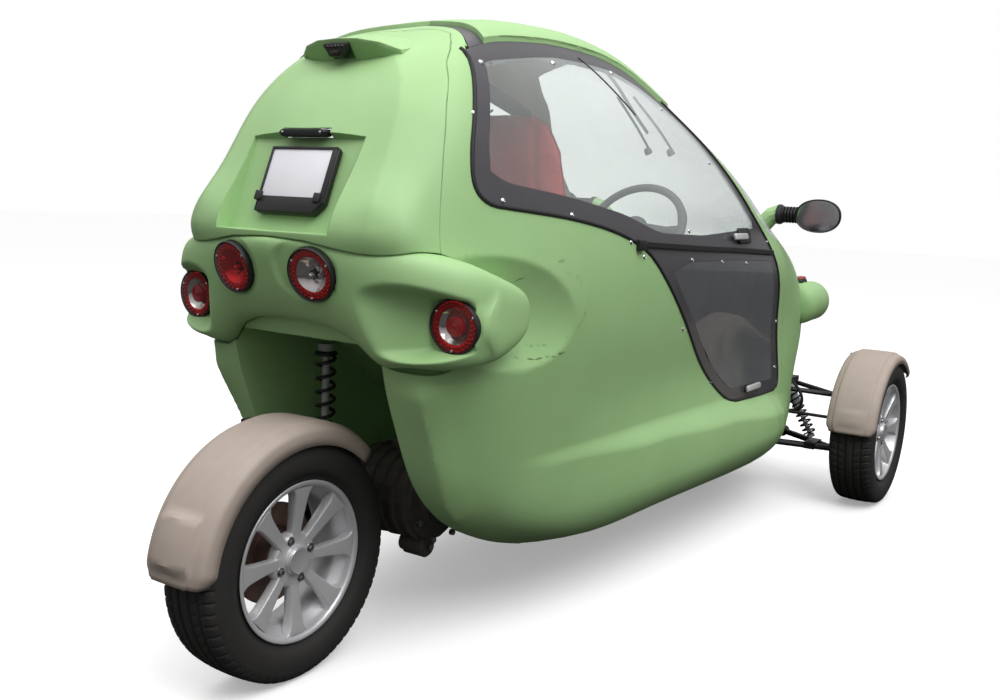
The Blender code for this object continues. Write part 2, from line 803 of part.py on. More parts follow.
tail_lamps = (
    # name, x, y, z of the middle of the front glass, radius, facing (x, y, z), material
    ("tail_lamp_inner_left", -0.045, 0.120, 0.946, 0.050, (-1, 0.10, -0.30), "red lamp lens"),
    ("tail_lamp_inner_right", -0.045, -0.120, 0.946, 0.050, (-1, -0.10, -0.30), "clear lamp lens"),
    ("tail_lamp_outer_left", 0.098, 0.398, 0.854, 0.050, (-1, 0.90, -0.12), "red lamp lens"),
    ("tail_lamp_outer_right", 0.098, -0.398, 0.854, 0.050, (-1, -0.90, -0.12), "red lamp lens"),
)


def build_lamps(named):
    bar = bar_form("lamp_bar", 0.0)
    for name, x, y, z, radius, facing, material in tail_lamps:
        facing = Vector(facing).normalized()
        middle = Vector((x, y, z))
        cut(bar, rod("socket", middle + facing * 0.010, middle - facing * 0.035,
                     radius + 0.002, 20))
        cut(bar, rod("pocket", middle + facing * 0.060, middle + facing * 0.0005,
                     radius + 0.040, 20, radius + 0.004))
        lamp = rod(name, middle + facing * 0.004, middle - facing * 0.0346, radius, 20)
        named[name] = (lamp, material)
    named["lamp_bar"] = (bar, "green rotomoulded polyethylene")


def plate_lamp_form(name, grow):
    return box(name, (0.042 - grow, -0.073 - grow, 1.2430 - grow),
               (0.085 + grow, 0.073 + grow, 1.2610 + grow))


def build_plate(named):
    # The holder leans with the floor of the recess.
    lean = math.degrees(math.atan2(0.082, 0.206))
    holder = box("plate_holder", (-0.016, -0.096, -0.0725), (0.0, 0.096, 0.0725))
    foot = box("foot", (-0.002, -0.020, -0.020), (0.0, 0.020, 0.020))
    join(holder, foot)
    tilted(holder, lean, "Y", (0, 0, 0))
    holder.data.transform(Matrix.Translation((0.0346, 0, 1.1475)))
    named["plate_holder"] = (holder, "black plastic")
    named["plate_lamp"] = (plate_lamp_form("plate_lamp", 0.0), "black plastic")
    named["high_brake_lamp"] = (brake_lamp_form("high_brake_lamp", 0.0), "black plastic")



def tyre_profile():
    # Half of the outside from the bead to the tread, and half of the lining.
    lip = bead_radius + 0.0133
    height = tyre_radius - lip
    outer = ((0.0500, bead_radius), (0.0605, bead_radius), (0.0612, lip),
             (0.0790, lip + 0.232 * height),
             (0.0825, lip + 0.524 * height), (0.0730, lip + 0.881 * height),
             (0.0500, tyre_radius))
    lining = ((0.0580, lip + 0.805 * height), (0.0720, lip + 0.373 * height))
    left = [(-a, r) for a, r in reversed(outer)]
    left_lining = [(-a, r) for a, r in reversed(lining)]
    return list(outer) + left + left_lining + list(lining)


def make_tyre(name, centre):
    return turned(name, tyre_profile(), centre, wheel_segments)


def make_rim(name, centre, face):
    # face is -1 or +1: the side to which the spokes look.
    half = ((0.0680, bead_radius + 0.0118), (0.0615, bead_radius - 0.0007),
            (0.0440, bead_radius - 0.0012), (0.0320, bead_radius - 0.0162))
    lining = ((0.0300, bead_radius - 0.0222), (0.0660, bead_radius - 0.0064))
    outside = [(-a, r) for a, r in half] + [(a, r) for a, r in reversed(half)]
    outside += [(a, r) for a, r in reversed(lining)] + [(-a, r) for a, r in lining]
    rim = turned(name, outside, centre, wheel_segments)
    hub_outer = face * 0.052
    hub_inner = face * 0.012
    hub = turned("hub", [(hub_inner, 0.0), (hub_inner, 0.062), (hub_outer * 0.8, 0.062),
                         (hub_outer, 0.034), (hub_outer, 0.0)], centre, 12)
    disc_side = -face
    for k in range(8):
        turn = 2 * math.pi * (k + 0.5) / 8
        along = Vector((math.cos(turn), 0, math.sin(turn)))
        side = Vector((-math.sin(turn), 0, math.cos(turn)))
        rings = []
        tip = bead_radius - 0.0037
        for reach, width, near, far in ((0.045, 0.014, 0.030, 0.046),
                                        (0.0225 + tip / 2, 0.017, 0.034, 0.052),
                                        (tip, 0.022, 0.040, 0.060)):
            middle = Vector(centre) + along * reach
            ring = []
            for a, b in ((-1, 0), (-0.7, 1), (0.7, 1), (1, 0)):
                depth = face * (near + (far - near) * b)
                ring.append(middle + side * (a * width) + Vector((0, depth, 0)))
            rings.append(ring)
        join(hub, loft("spoke", rings))
    join(rim, hub)
    disc = turned("disc", [(disc_side * 0.030, 0.0), (disc_side * 0.030, brake_disc_radius),
                           (disc_side * 0.022, brake_disc_radius), (disc_side * 0.022, 0.045),
                           (face * 0.014, 0.045), (face * 0.014, 0.0)], centre, 16)
    join(rim, disc)
    return rim


def mudguard(name, centre, space, start, end, steps):
    # An arched sheet with side skirts, over the wheel from start to end in degrees. Each
    # point of half its section is the distance from the middle and from the tread.
    half = ((0.0900, -0.0110 - space), (0.0880, -0.0175), (0.0700, -0.0025),
            (0.0600, mudguard_skin))
    level = tyre_radius + space
    section = [(-a, level + r) for a, r in half] + [(a, level + r) for a, r in reversed(half)]
    item = screwed(profile_object(name, section, False), end - start, steps)
    item.rotation_euler = (0, math.radians(-end), 0)
    item.location = centre
    skin = item.modifiers.new("skin", "SOLIDIFY")
    skin.thickness = mudguard_skin
    skin.offset = 1.0
    skin.use_even_offset = True
    return as_mesh(item)


def mudguard_pad(name, centre):
    # The thicker pad on the lower rear of the rear mudguard.
    rings = []
    for degrees, rise in ((150, 0.002), (153, 0.020), (167, 0.024), (171, 0.022)):
        turn = math.radians(degrees)
        out = Vector((math.cos(turn), 0, math.sin(turn)))
        base = Vector(centre) + out * (tyre_radius + rear_mudguard_space)
        rings.append([base + out * r + Vector((0, a, 0))
                      for a, r in ((-0.058, 0.0015), (-0.052, rise), (0.052, rise),
                                   (0.058, 0.0015))])
    return loft(name, rings)


def build_wheels(named):
    places = (
        # name, x, y, side of the spokes
        ("rear", 0.0, 0.0, -1),
        ("front_left", wheel_base, half_track, 1),
        ("front_right", wheel_base, -half_track, -1),
    )
    for name, x, y, face in places:
        centre = (x, y, tyre_radius)
        named["tyre_" + name] = (make_tyre("tyre_" + name, centre), "tyre rubber")
        named["rim_" + name] = (make_rim("rim_" + name, centre, face), "cast aluminium")

    centre = (0, 0, tyre_radius)
    rear = mudguard("rear_mudguard", centre, rear_mudguard_space, 44, 176, 14)
    join(rear, mudguard_pad("pad", centre))
    crown = 2 * tyre_radius + rear_mudguard_space
    join(rear, box("stay", (-0.020, 0.083, crown - 0.040), (0.020, 0.104, crown - 0.012)))
    named["rear_mudguard"] = (rear, "taupe mudguard plastic")


def build_front_gear(named):
    king_y = half_track - kingpin_inset
    x = wheel_base
    z = tyre_radius
    frame_y = 0.300
    guard_edge = half_track - 0.0900
    low_z = z - 0.099
    top_z = z + 0.119
    for side, sign in (("right", -1), ("left", 1)):
        knuckle = box("knuckle_" + side, (x - 0.022, king_y - 0.020, z - 0.085),
                      (x + 0.022, king_y + 0.020, z + 0.105))
        join(knuckle, rod("stub", (x, king_y + 0.005, z), (x, half_track - 0.0304, z), 0.030, 16))
        join(knuckle, prism("steering arm", (
            (x - 0.125, king_y - 0.020), (x - 0.125, king_y + 0.010),
            (x - 0.010, king_y + 0.018), (x - 0.010, king_y - 0.018)), z + 0.020, z + 0.034, "z"))
        join(knuckle, box("caliper", (x - 0.032, king_y + 0.016, z + brake_disc_radius - 0.060),
                          (x + 0.032, king_y + 0.070, z + brake_disc_radius - 0.018)))
        # The mudguard's stay stands ahead of the upper ball joint.
        join(knuckle, box("foot", (x, king_y - 0.002, z + 0.040),
                          (x + 0.055, guard_edge - fit_gap, z + 0.070)))
        join(knuckle, box("stay", (x + 0.032, king_y - 0.002, z + 0.060),
                          (x + 0.055, guard_edge - fit_gap, z + tyre_radius + 0.006)))
        if sign < 0:
            right = mirrored(knuckle, "knuckle_right")
            drop(knuckle)
            knuckle = right
        named["knuckle_" + side] = (knuckle, "painted steel")

        guard = mudguard("front_mudguard_" + side, (x, sign * half_track, z),
                         front_mudguard_space, 44, 174, 12)
        named["front_mudguard_" + side] = (guard, "taupe mudguard plastic")

        lower_start = Vector((x, frame_y, 0.195))
        lower_end = Vector((x, king_y - 0.024, low_z))
        upper_start = Vector((x, frame_y, 0.420))
        upper_end = Vector((x, king_y - 0.030, top_z))
        lower = tube("lower", (lower_start - Vector((0.095, 0, 0)), lower_end), 0.013, 8)
        join(lower, tube("lower", (lower_start + Vector((0.140, 0, 0)), lower_end), 0.013, 8))
        join(lower, box("ball", (x - 0.020, king_y - 0.035, low_z - 0.013),
                        (x + 0.020, king_y + 0.010, low_z + 0.0135)))
        seat = lower_start.lerp(lower_end, 0.66)
        join(lower, box("seat", (x - 0.052, seat.y - 0.021, seat.z - 0.011),
                        (x + 0.052, seat.y + 0.021, seat.z + 0.015)))
        upper = tube("upper", (upper_start - Vector((0.095, 0, 0)), upper_end), 0.010, 8)
        join(upper, tube("upper", (upper_start + Vector((0.125, 0, 0)), upper_end), 0.010, 8))
        join(upper, box("ball", (x - 0.014, king_y - 0.040, top_z - 0.0135),
                        (x + 0.014, king_y + 0.012, top_z + 0.009)))
        for reach in (-0.095, 0.140):
            join(lower, box("bush", (x + reach - 0.020, 0.2864, 0.177),
                            (x + reach + 0.020, frame_y + 0.012, 0.213)))
        for reach in (-0.095, 0.125):
            join(upper, box("bush", (x + reach - 0.018, 0.2864, 0.404),
                            (x + reach + 0.018, frame_y + 0.012, 0.436)))
        # The damper leans, so its ends stand off by what their edges reach.
        lean = abs(seat.y - 0.345) / math.hypot(seat.y - 0.345, 0.206)
        stand_off = fit_gap + 0.022 * lean
        damper = tube("damper", ((x, seat.y, seat.z + 0.015 + stand_off),
                                 (x, 0.345, 0.435 - stand_off)), 0.022, 12)
        if sign < 0:
            for piece in (lower, upper, damper):
                flip(piece)
        named["lower_arm_" + side] = (lower, "painted steel")
        named["upper_arm_" + side] = (upper, "painted steel")
        named["damper_" + side] = (damper, "painted steel")

    rack_x = wheel_base - steering_arm_length
    reach = king_y + 0.008
    rack = rod("steering_rack", (rack_x, -reach, z + 0.046), (rack_x, reach, z + 0.046), 0.0065, 10)
    named["steering_rack"] = (rack, "painted steel")


def build_chassis(named):
    x = wheel_base
    z = tyre_radius
    rack_x = wheel_base - steering_arm_length
    plate = box("chassis", (0.820, -0.240, 0.1986), (x - 0.420, 0.240, 0.2260))
    # Front tower that carries the arms, the dampers and the rack.
    tower = box("tower", (rack_x - 0.014, -0.286, 0.175), (x + 0.165, 0.286, 0.440))
    cut(tower, box("space", (rack_x + 0.014, -0.230, 0.200), (x + 0.140, 0.230, 0.460)))
    join(plate, tower)
    join(plate, box("neck", (x - 0.440, -0.150, 0.2040), (rack_x, 0.150, 0.2260)))
    for sign in (-1, 1):
        low, high = between(sign * 0.235, sign * 0.375)
        join(plate, box("shelf", (x - 0.050, low, 0.435), (x + 0.050, high, 0.455)))
        low, high = between(sign * 0.190, sign * 0.214)
        join(plate, box("ear", (0.670, low, 0.290), (0.860, high, 0.370)))
        join(plate, box("post", (0.820, low, 0.215), (0.844, high, 0.300)))
    cut(plate, rod("rack bore", (rack_x, -0.4, z + 0.046), (rack_x, 0.4, z + 0.046), 0.0073, 10))
    named["chassis"] = (plate, "painted steel")


def motor_profile():
    # A drum with cooling ribs round it and a smaller end cover.
    profile = [(-0.140, 0.0), (-0.140, 0.070), (-0.128, 0.082), (-0.118, 0.112)]
    for k in range(5):
        start = -0.106 + 0.039 * k
        profile += [(start, 0.112), (start + 0.005, 0.120), (start + 0.015, 0.120),
                    (start + 0.020, 0.112)]
    return profile + [(0.092, 0.112), (0.100, 0.100), (0.100, 0.0)]


def build_rear_gear(named):
    z = tyre_radius
    crown = z + tyre_radius + rear_mudguard_space
    arm = tube("swing_arm", ((0.0, 0.126, z), (0.24, 0.150, 0.300), (0.560, 0.150, 0.320),
                             (0.700, 0.120, 0.330)), 0.034, 10)
    join(arm, rod("hub", (0, 0.0304, z), (0, 0.160, z), 0.036, 16))
    join(arm, rod("pivot", (0.705, -0.1896, 0.330), (0.705, 0.1896, 0.330), 0.030, 16))
    join(arm, rod("flange", (0.440, 0.1004, 0.350), (0.440, 0.150, 0.350), 0.060, 16))
    join(arm, box("seat", (0.265, 0.115, 0.300), (0.335, 0.185, 0.360)))
    join(arm, box("stay", (-0.018, 0.1044, z), (0.018, 0.118, crown - 0.012)))
    named["swing_arm"] = (arm, "painted steel")
    motor = turned("drive_motor", motor_profile(), (0.440, 0, 0.350), 18)
    named["drive_motor"] = (motor, "motor housing")
    damper = rod("rear_damper", (0.300, 0.150, 0.3604), (0.300, 0.150, 0.7395), 0.030, 12)
    named["rear_damper"] = (damper, "painted steel")


def build_cabin(named):
    back = prism("front_seat", placed((
        (0.980, 0.560), (0.800, 1.340), (0.830, 1.385), (0.900, 1.380), (1.100, 0.600),
    )), -0.200, 0.200)
    join(back, prism("cushion", placed((
        (0.960, 0.460), (0.960, 0.620), (1.480, 0.600), (1.480, 0.460),
    )), -0.210, 0.210))
    named["front_seat"] = (back, "red seat")
    back = prism("rear_seat", ((0.300, 0.900), (0.240, 1.200), (0.280, 1.240), (0.340, 1.200),
                               (0.420, 0.900)), -0.180, 0.180)
    join(back, prism("cushion", ((0.345, 0.7415), (0.620, 0.5818), (0.720, 0.620), (0.740, 0.800),
                                 (0.700, 0.905), (0.300, 0.920), (0.310, 0.780)), -0.180, 0.180))
    named["rear_seat"] = (back, "red seat")
    dash = prism("dashboard", placed((
        (1.980, 0.700), (1.940, 0.950), (2.060, 1.020), (2.230, 0.980), (2.230, 0.900),
        (2.150, 0.700),
    )), -0.260, 0.260)
    for low, high in ((-0.235, -0.205), (0.205, 0.235)):
        join(dash, box("leg", (ahead(2.030), low, 0.2264), (ahead(2.060), high, 0.720)))
    pack = rounded(box("battery_pack", (0.870, -0.235, 0.2264), (ahead(1.700), 0.235, 0.4596)),
                   0.012, 1)
    named["battery_pack"] = (pack, "battery case")

    centre = Vector((ahead(1.720), 0.0, 1.035))
    toward = Vector((-0.84, 0.0, 0.54)).normalized()
    side = Vector((0, 1, 0))
    up = toward.cross(side)
    wheel = ring_rod("steering_wheel", centre, toward, 0.180, 0.013)
    join(wheel, rod("boss", centre - toward * 0.030, centre + toward * 0.010, 0.045, 12))
    for turn in (0, 120, 240):
        angle = math.radians(turn - 90)
        out = math.cos(angle) * side + math.sin(angle) * up
        join(wheel, rod("spoke", centre, centre + out * 0.178, 0.009, 6))
    join(wheel, rod("column", centre, centre - toward * 0.400, 0.016, 12))
    cut(dash, rod("column bore", centre, centre - toward * 0.440, 0.0170, 12))
    named["dashboard"] = (dash, "grey interior plastic")
    named["steering_wheel"] = (wheel, "black plastic")


def mirror_arm_form(name, sign, grow):
    base = Vector((ahead(2.130), 0.0, 0.0))
    bends = ((0.296, 1.046), (0.330, 1.074), (0.358, 1.104), (0.380, 1.112), (0.402, 1.112))
    return tube(name, [base + Vector((0, sign * y, z)) for y, z in bends], 0.033 + grow, 12)


def headlamp_form(name, sign, grow):
    return rod(name, (ahead(2.440) - grow, sign * 0.372, 0.762),
               (ahead(2.640) + grow, sign * 0.372, 0.762), 0.085 + grow, 16, 0.080 + grow)


def build_small_parts(named):
    for side, sign in (("right", -1), ("left", 1)):
        named["mirror_arm_" + side] = (mirror_arm_form("arm", sign, 0.0),
                                       "green rotomoulded polyethylene")
        base = Vector((ahead(2.130), 0.0, 1.112))
        head = rod("mirror_head_" + side, base + Vector((0, sign * 0.4024, 0)),
                   base + Vector((0, sign * 0.480, 0)), 0.029, 12)
        # An oval bowl whose flat side looks back along the car.
        rings = []
        for x, size in ((-0.034, 0.94), (-0.028, 1.0), (0.000, 0.98), (0.024, 0.78), (0.038, 0.42)):
            ring = []
            for i in range(16):
                turn = 2 * math.pi * i / 16
                ring.append(base + Vector((x, sign * (0.541 + 0.081 * size * math.cos(turn)),
                                           0.061 * size * math.sin(turn))))
            rings.append(ring)
        join(head, loft("bowl", rings))
        named["mirror_head_" + side] = (head, "black plastic")
        named["headlamp_" + side] = (headlamp_form("lamp", sign, 0.0),
                                     "green rotomoulded polyethylene")


pieces = {}
build_body(pieces)
build_lamps(pieces)
build_plate(pieces)
build_wheels(pieces)
build_front_gear(pieces)
build_chassis(pieces)
build_rear_gear(pieces)
build_cabin(pieces)
build_small_parts(pieces)

# Each moving piece hangs on an empty on the axis of its joint; the doors turn about
# lines along the car, the knuckles about upright ones and the wheels about cross ones.
joint_axes = (
    # name, place on the axis, pieces that turn or slide together
    ("rear_axle", (0, 0, tyre_radius), ("tyre_rear", "rim_rear")),
    ("front_left_kingpin", (wheel_base, half_track - kingpin_inset, tyre_radius),
     ("knuckle_left", "front_mudguard_left")),
    ("front_right_kingpin", (wheel_base, kingpin_inset - half_track, tyre_radius),
     ("knuckle_right", "front_mudguard_right")),
    ("front_left_axle", (wheel_base, half_track, tyre_radius),
     ("tyre_front_left", "rim_front_left")),
    ("front_right_axle", (wheel_base, -half_track, tyre_radius),
     ("tyre_front_right", "rim_front_right")),
    ("left_door_hinge", (0.900, door_top_y, 1.535),
     ("door_left", "door_window_left", "door_lower_pane_left")),
    ("right_door_hinge", (0.900, -door_top_y, 1.535),
     ("door_right", "door_window_right", "door_lower_pane_right")),
    ("hand_wheel_axis", (ahead(1.720), 0, 1.035), ("steering_wheel",)),
    ("rack_slide", (wheel_base - steering_arm_length, 0, tyre_radius + 0.046),
     ("steering_rack",)),
)


def hang(pieces):
    root = bpy.data.objects.new("ground_under_the_middle", None)
    root.location = (rear_axle_x, 0, 0)
    car.objects.link(root)
    parents = {}
    for name, place, moved in joint_axes:
        empty = bpy.data.objects.new(name, None)
        empty.location = place
        empty.parent = root
        car.objects.link(empty)
        for piece in moved:
            parents[piece] = (empty, Matrix.Translation(Vector(place)).inverted())
    for name, (item, _) in pieces.items():
        parent, inverse = parents.get(name, (root, Matrix.Identity(4)))
        item.parent = parent
        item.matrix_parent_inverse = inverse


look = make_materials()
for name, (item, material) in pieces.items():
    item.name = name
    item.data.name = name
    item.data.materials.clear()
    item.data.materials.append(look[material])
    item.data.shade_smooth()
    item.data.set_sharp_from_angle(angle=math.radians(32))
    car.objects.link(item)
    cutters.objects.unlink(item)
hang(pieces)
for name, (item, _) in pieces.items():
    print(name, len(item.data.polygons))
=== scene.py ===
import json
import math

import bmesh
import bpy
import numpy as np
from mathutils import Matrix, Vector
from mathutils.bvhtree import BVHTree

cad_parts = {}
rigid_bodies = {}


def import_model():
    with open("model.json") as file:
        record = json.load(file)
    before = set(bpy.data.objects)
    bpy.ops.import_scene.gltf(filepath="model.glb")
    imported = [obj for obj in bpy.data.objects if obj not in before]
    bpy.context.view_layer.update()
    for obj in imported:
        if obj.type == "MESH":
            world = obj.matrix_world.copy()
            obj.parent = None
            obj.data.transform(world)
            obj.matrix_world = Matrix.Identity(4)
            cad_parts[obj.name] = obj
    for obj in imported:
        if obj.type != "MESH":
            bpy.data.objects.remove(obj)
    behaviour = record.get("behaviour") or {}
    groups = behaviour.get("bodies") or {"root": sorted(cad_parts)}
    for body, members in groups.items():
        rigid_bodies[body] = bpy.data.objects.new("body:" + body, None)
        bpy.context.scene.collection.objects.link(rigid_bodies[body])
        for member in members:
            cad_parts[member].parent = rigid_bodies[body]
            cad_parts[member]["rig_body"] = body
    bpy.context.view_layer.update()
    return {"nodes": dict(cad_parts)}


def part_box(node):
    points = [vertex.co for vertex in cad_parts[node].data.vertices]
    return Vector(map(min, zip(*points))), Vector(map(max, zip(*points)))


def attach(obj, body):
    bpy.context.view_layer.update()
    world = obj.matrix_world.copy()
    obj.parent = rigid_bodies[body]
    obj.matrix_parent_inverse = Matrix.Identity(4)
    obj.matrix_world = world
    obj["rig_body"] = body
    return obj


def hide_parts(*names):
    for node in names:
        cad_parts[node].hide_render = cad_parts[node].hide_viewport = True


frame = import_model()
nodes = frame["nodes"]

# Metres, +Z up, +X forward. Places in the dictionaries are measured forward from the
# rear axle, as on the workshop drawing, and moved to the row frame by place().
tyreLow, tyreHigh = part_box("tyre_rear")
rearAxleX = (tyreLow.x + tyreHigh.x) / 2


def place(x, y, z):
    return Vector((x + rearAxleX, y, z))


def linear(hexCode):
    levels = [int(hexCode[i:i + 2], 16) / 255 for i in (0, 2, 4)]
    return (*[v / 12.92 if v <= 0.04045 else ((v + 0.055) / 1.055) ** 2.4 for v in levels], 1.0)


def addNode(tree, kind, settings=None, links=None):
    made = tree.nodes.new(kind)
    for key, value in (settings or {}).items():
        if isinstance(key, str) and hasattr(made, key):
            setattr(made, key, value)
        else:
            made.inputs[key].default_value = value
    for key, source in (links or {}).items():
        tree.links.new(source, made.inputs[key])
    return made


def perMetre(millimetres):
    return 1000.0 / millimetres  # texture scale for a pattern of that size


def startMaterial(name, settings):
    made = bpy.data.materials.new(name)
    made.use_nodes = True
    tree = made.node_tree
    shader = tree.nodes["Principled BSDF"]
    for key, value in settings.items():
        shader.inputs[key].default_value = value
    where = addNode(tree, "ShaderNodeTexCoord").outputs["Object"]
    return made, tree, shader, where


def mixedColour(tree, factor, first, second):
    made = addNode(tree, "ShaderNodeMix", {"data_type": "RGBA", 6: linear(first), 7: linear(second)},
                   {0: factor})
    return made.outputs[2]


# Rotomoulded polyethylene: a waxy, even green with soft low gloss and a faint orange peel.
greenLook = {
    "light": "a1c78c",
    "dark": "95bc7f",
    "roughness": (0.46, 0.60),
    "peelMillimetres": 5.0,   # real peel is 1 to 2 mm, drawn coarser to show
    "peelHeight": 0.00008,
    "edgeRadius": 0.004,      # the mould leaves every panel edge rounded
}


def rotomouldedPolyethylene(name, light, dark):
    made, tree, shader, where = startMaterial(name, {
        "IOR": 1.51, "Subsurface Weight": 0.04, "Subsurface Scale": 0.004,
    })
    cloud = addNode(tree, "ShaderNodeTexNoise", {"Scale": perMetre(180), "Detail": 4.0},
                    {"Vector": where})
    tree.links.new(mixedColour(tree, cloud.outputs["Fac"], dark, light),
                   shader.inputs["Base Color"])
    low, high = greenLook["roughness"]
    patches = addNode(tree, "ShaderNodeTexNoise", {"Scale": perMetre(60), "Detail": 3.0},
                      {"Vector": where})
    gloss = addNode(tree, "ShaderNodeMapRange", {"To Min": low, "To Max": high},
                    {"Value": patches.outputs["Fac"]})
    tree.links.new(gloss.outputs[0], shader.inputs["Roughness"])
    peel = addNode(tree, "ShaderNodeTexNoise",
                   {"Scale": perMetre(greenLook["peelMillimetres"]), "Detail": 2.0},
                   {"Vector": where})
    edge = addNode(tree, "ShaderNodeBevel", {"samples": 6, "Radius": greenLook["edgeRadius"]})
    bump = addNode(tree, "ShaderNodeBump",
                   {"Strength": 1.0, "Distance": greenLook["peelHeight"]},
                   {"Height": peel.outputs["Fac"], "Normal": edge.outputs["Normal"]})
    tree.links.new(bump.outputs["Normal"], shader.inputs["Normal"])
    return made


def mouldedFinish(name, light, dark, roughness, grain, height, metallic=0.0, ior=1.5,
                  edge=0.0015):
    # One moulded, cast or painted surface: two close tones in soft clouds, gloss that
    # changes a little from patch to patch, and its own grain in millimetres.
    settings = {"Metallic": metallic}
    if metallic < 0.5:
        settings["IOR"] = ior
    made, tree, shader, where = startMaterial(name, settings)
    cloud = addNode(tree, "ShaderNodeTexNoise", {"Scale": perMetre(40), "Detail": 5.0},
                    {"Vector": where})
    tree.links.new(mixedColour(tree, cloud.outputs["Fac"], dark, light),
                   shader.inputs["Base Color"])
    gloss = addNode(tree, "ShaderNodeMapRange",
                    {"To Min": roughness[0], "To Max": roughness[1]},
                    {"Value": cloud.outputs["Fac"]})
    tree.links.new(gloss.outputs[0], shader.inputs["Roughness"])
    grains = addNode(tree, "ShaderNodeTexNoise", {"Scale": perMetre(grain), "Detail": 3.0},
                     {"Vector": where})
    rim = addNode(tree, "ShaderNodeBevel", {"samples": 4, "Radius": edge})
    bump = addNode(tree, "ShaderNodeBump", {"Strength": 1.0, "Distance": height},
                   {"Height": grains.outputs["Fac"], "Normal": rim.outputs["Normal"]})
    tree.links.new(bump.outputs["Normal"], shader.inputs["Normal"])
    return made


def clearSheet(name, tint, shade, paintedReflection):
    # A thin sheet: light passes straight through with the sheet's tint, and the surface
    # adds its own gloss, which grows towards grazing views. Over that lies a lit whitish
    # veil in soft patches, which is painted reflection of the sky.
    made, tree, shader, where = startMaterial(name, {
        "Base Color": linear(shade), "Roughness": 0.04, "IOR": 1.58,
    })
    through = addNode(tree, "ShaderNodeBsdfTransparent", {"Color": linear(tint)})
    facing = addNode(tree, "ShaderNodeLayerWeight", {"Blend": 0.5})
    grazing = addNode(tree, "ShaderNodeMath", {"operation": "POWER", 1: 5.0},
                      {0: facing.outputs["Facing"]})
    # Painted reflection: a whitish veil, stronger and weaker in patches, stands in for the sky's
    # reflection.
    reflectionPatches = addNode(tree, "ShaderNodeTexNoise", {"Scale": perMetre(90), "Detail": 3.0},
                     {"Vector": where})
    veil = addNode(tree, "ShaderNodeMapRange", {"To Min": paintedReflection * 0.8, "To Max": paintedReflection * 1.2},
                   {"Value": reflectionPatches.outputs["Fac"]})
    amount = addNode(tree, "ShaderNodeMath", {"operation": "ADD", "use_clamp": True},
                     {0: grazing.outputs[0], 1: veil.outputs[0]})
    blend = addNode(tree, "ShaderNodeMixShader", {},
                    {0: amount.outputs[0], 1: through.outputs[0], 2: shader.outputs[0]})
    tree.links.new(blend.outputs[0], tree.nodes["Material Output"].inputs["Surface"])
    return made


print("materials")
green = rotomouldedPolyethylene("green rotomoulded polyethylene", greenLook["light"],
                                greenLook["dark"])
# Felt-like flock inside the mouldings: pale grey-green and quite dull.
lining = mouldedFinish("grey flocked lining", "ccd4c9", "bfc8bc", (0.85, 0.95), 3.0, 0.0003)
# Clear polycarbonate: near colourless with sharp gloss, under a faint cool veil of painted
# reflection.
clearPane = clearSheet("clear polycarbonate", "fcfefd", "e8efee", 0.17)
# The sheet's inner face has almost none of the outer face's painted reflection veil.
clearInside = clearSheet("clear polycarbonate inner face", "fcfefd", "e8efee", 0.01)
# Smoked polycarbonate: dark grey, still see-through; its strong pale veil is painted reflection.
smokedPane = clearSheet("smoked polycarbonate", "9a9c9f", "8e9094", 0.30)
# Screen-printed border on the door sheet: satin black that turns grey under the sky.
borderBlack = mouldedFinish("black ceramic border", "4b494d", "424045", (0.26, 0.34), 6.0,
                            0.00002, edge=0.002)
# EPDM rubber: dull black with a dusty bloom.
rubberSeal = mouldedFinish("epdm rubber seal", "1d1d1f", "151517", (0.60, 0.72), 3.0, 0.0001)
# Textured ABS: black with fine leather-like grain.
blackPlastic = mouldedFinish("black moulded abs", "1c1c1e", "151516", (0.42, 0.52), 2.0, 0.00008)
# Mudguard polypropylene: warm taupe, dry and matte.
taupePlastic = mouldedFinish("taupe polypropylene", "b0a298", "a4968c", (0.55, 0.66), 3.0,
                             0.00006, edge=0.003)
# Vulcanised rubber: nearly black, brown where it is worn.
tyreRubber = mouldedFinish("tyre rubber", "2a2827", "201e1d", (0.70, 0.85), 2.5, 0.00012)
# Silver lacquer on cast aluminium: bright with a fine metal flake.
silverAlloy = mouldedFinish("silver lacquered cast aluminium", "dedee0", "d2d2d5", (0.34, 0.44),
                            1.5, 0.00001, metallic=0.55, edge=0.004)
# Cast iron disc: turned grey with a brown bloom of rust.
rustyIron = mouldedFinish("rusty cast iron disc", "7a6257", "5b4a44", (0.45, 0.60), 3.0, 0.00005,
                          metallic=0.7)
# Powder-coated steel: black with a light orange peel.
blackSteel = mouldedFinish("black powder coated steel", "232324", "1b1b1c", (0.40, 0.50), 2.0,
                           0.00005)
# Die-cast motor housing: dark grey paint with road dust in it.
motorPaint = mouldedFinish("dusty motor paint", "4d4843", "393532", (0.60, 0.75), 2.5, 0.00015,
                           edge=0.003)
# Woven red seat cloth, plain until the padded pieces replace the solids.
redCloth = mouldedFinish("red woven seat cloth", "b8383c", "a02c30", (0.80, 0.92), 3.0, 0.0003)
# Grey instrument panel moulding.
greyPlastic = mouldedFinish("grey grained polypropylene", "4a4d4c", "3f4241", (0.55, 0.65), 2.0,
                            0.0001)
# Red acrylic lens: deep, glossy and saturated.
redLens = mouldedFinish("red acrylic lens", "b01018", "8c0c12", (0.06, 0.12), 8.0, 0.00005, ior=1.49)
# Clear acrylic over a silvered bowl.
clearLens = mouldedFinish("clear acrylic lens", "c9c7c6", "a9a7a6", (0.08, 0.15), 6.0, 0.0001,
                          ior=1.49)

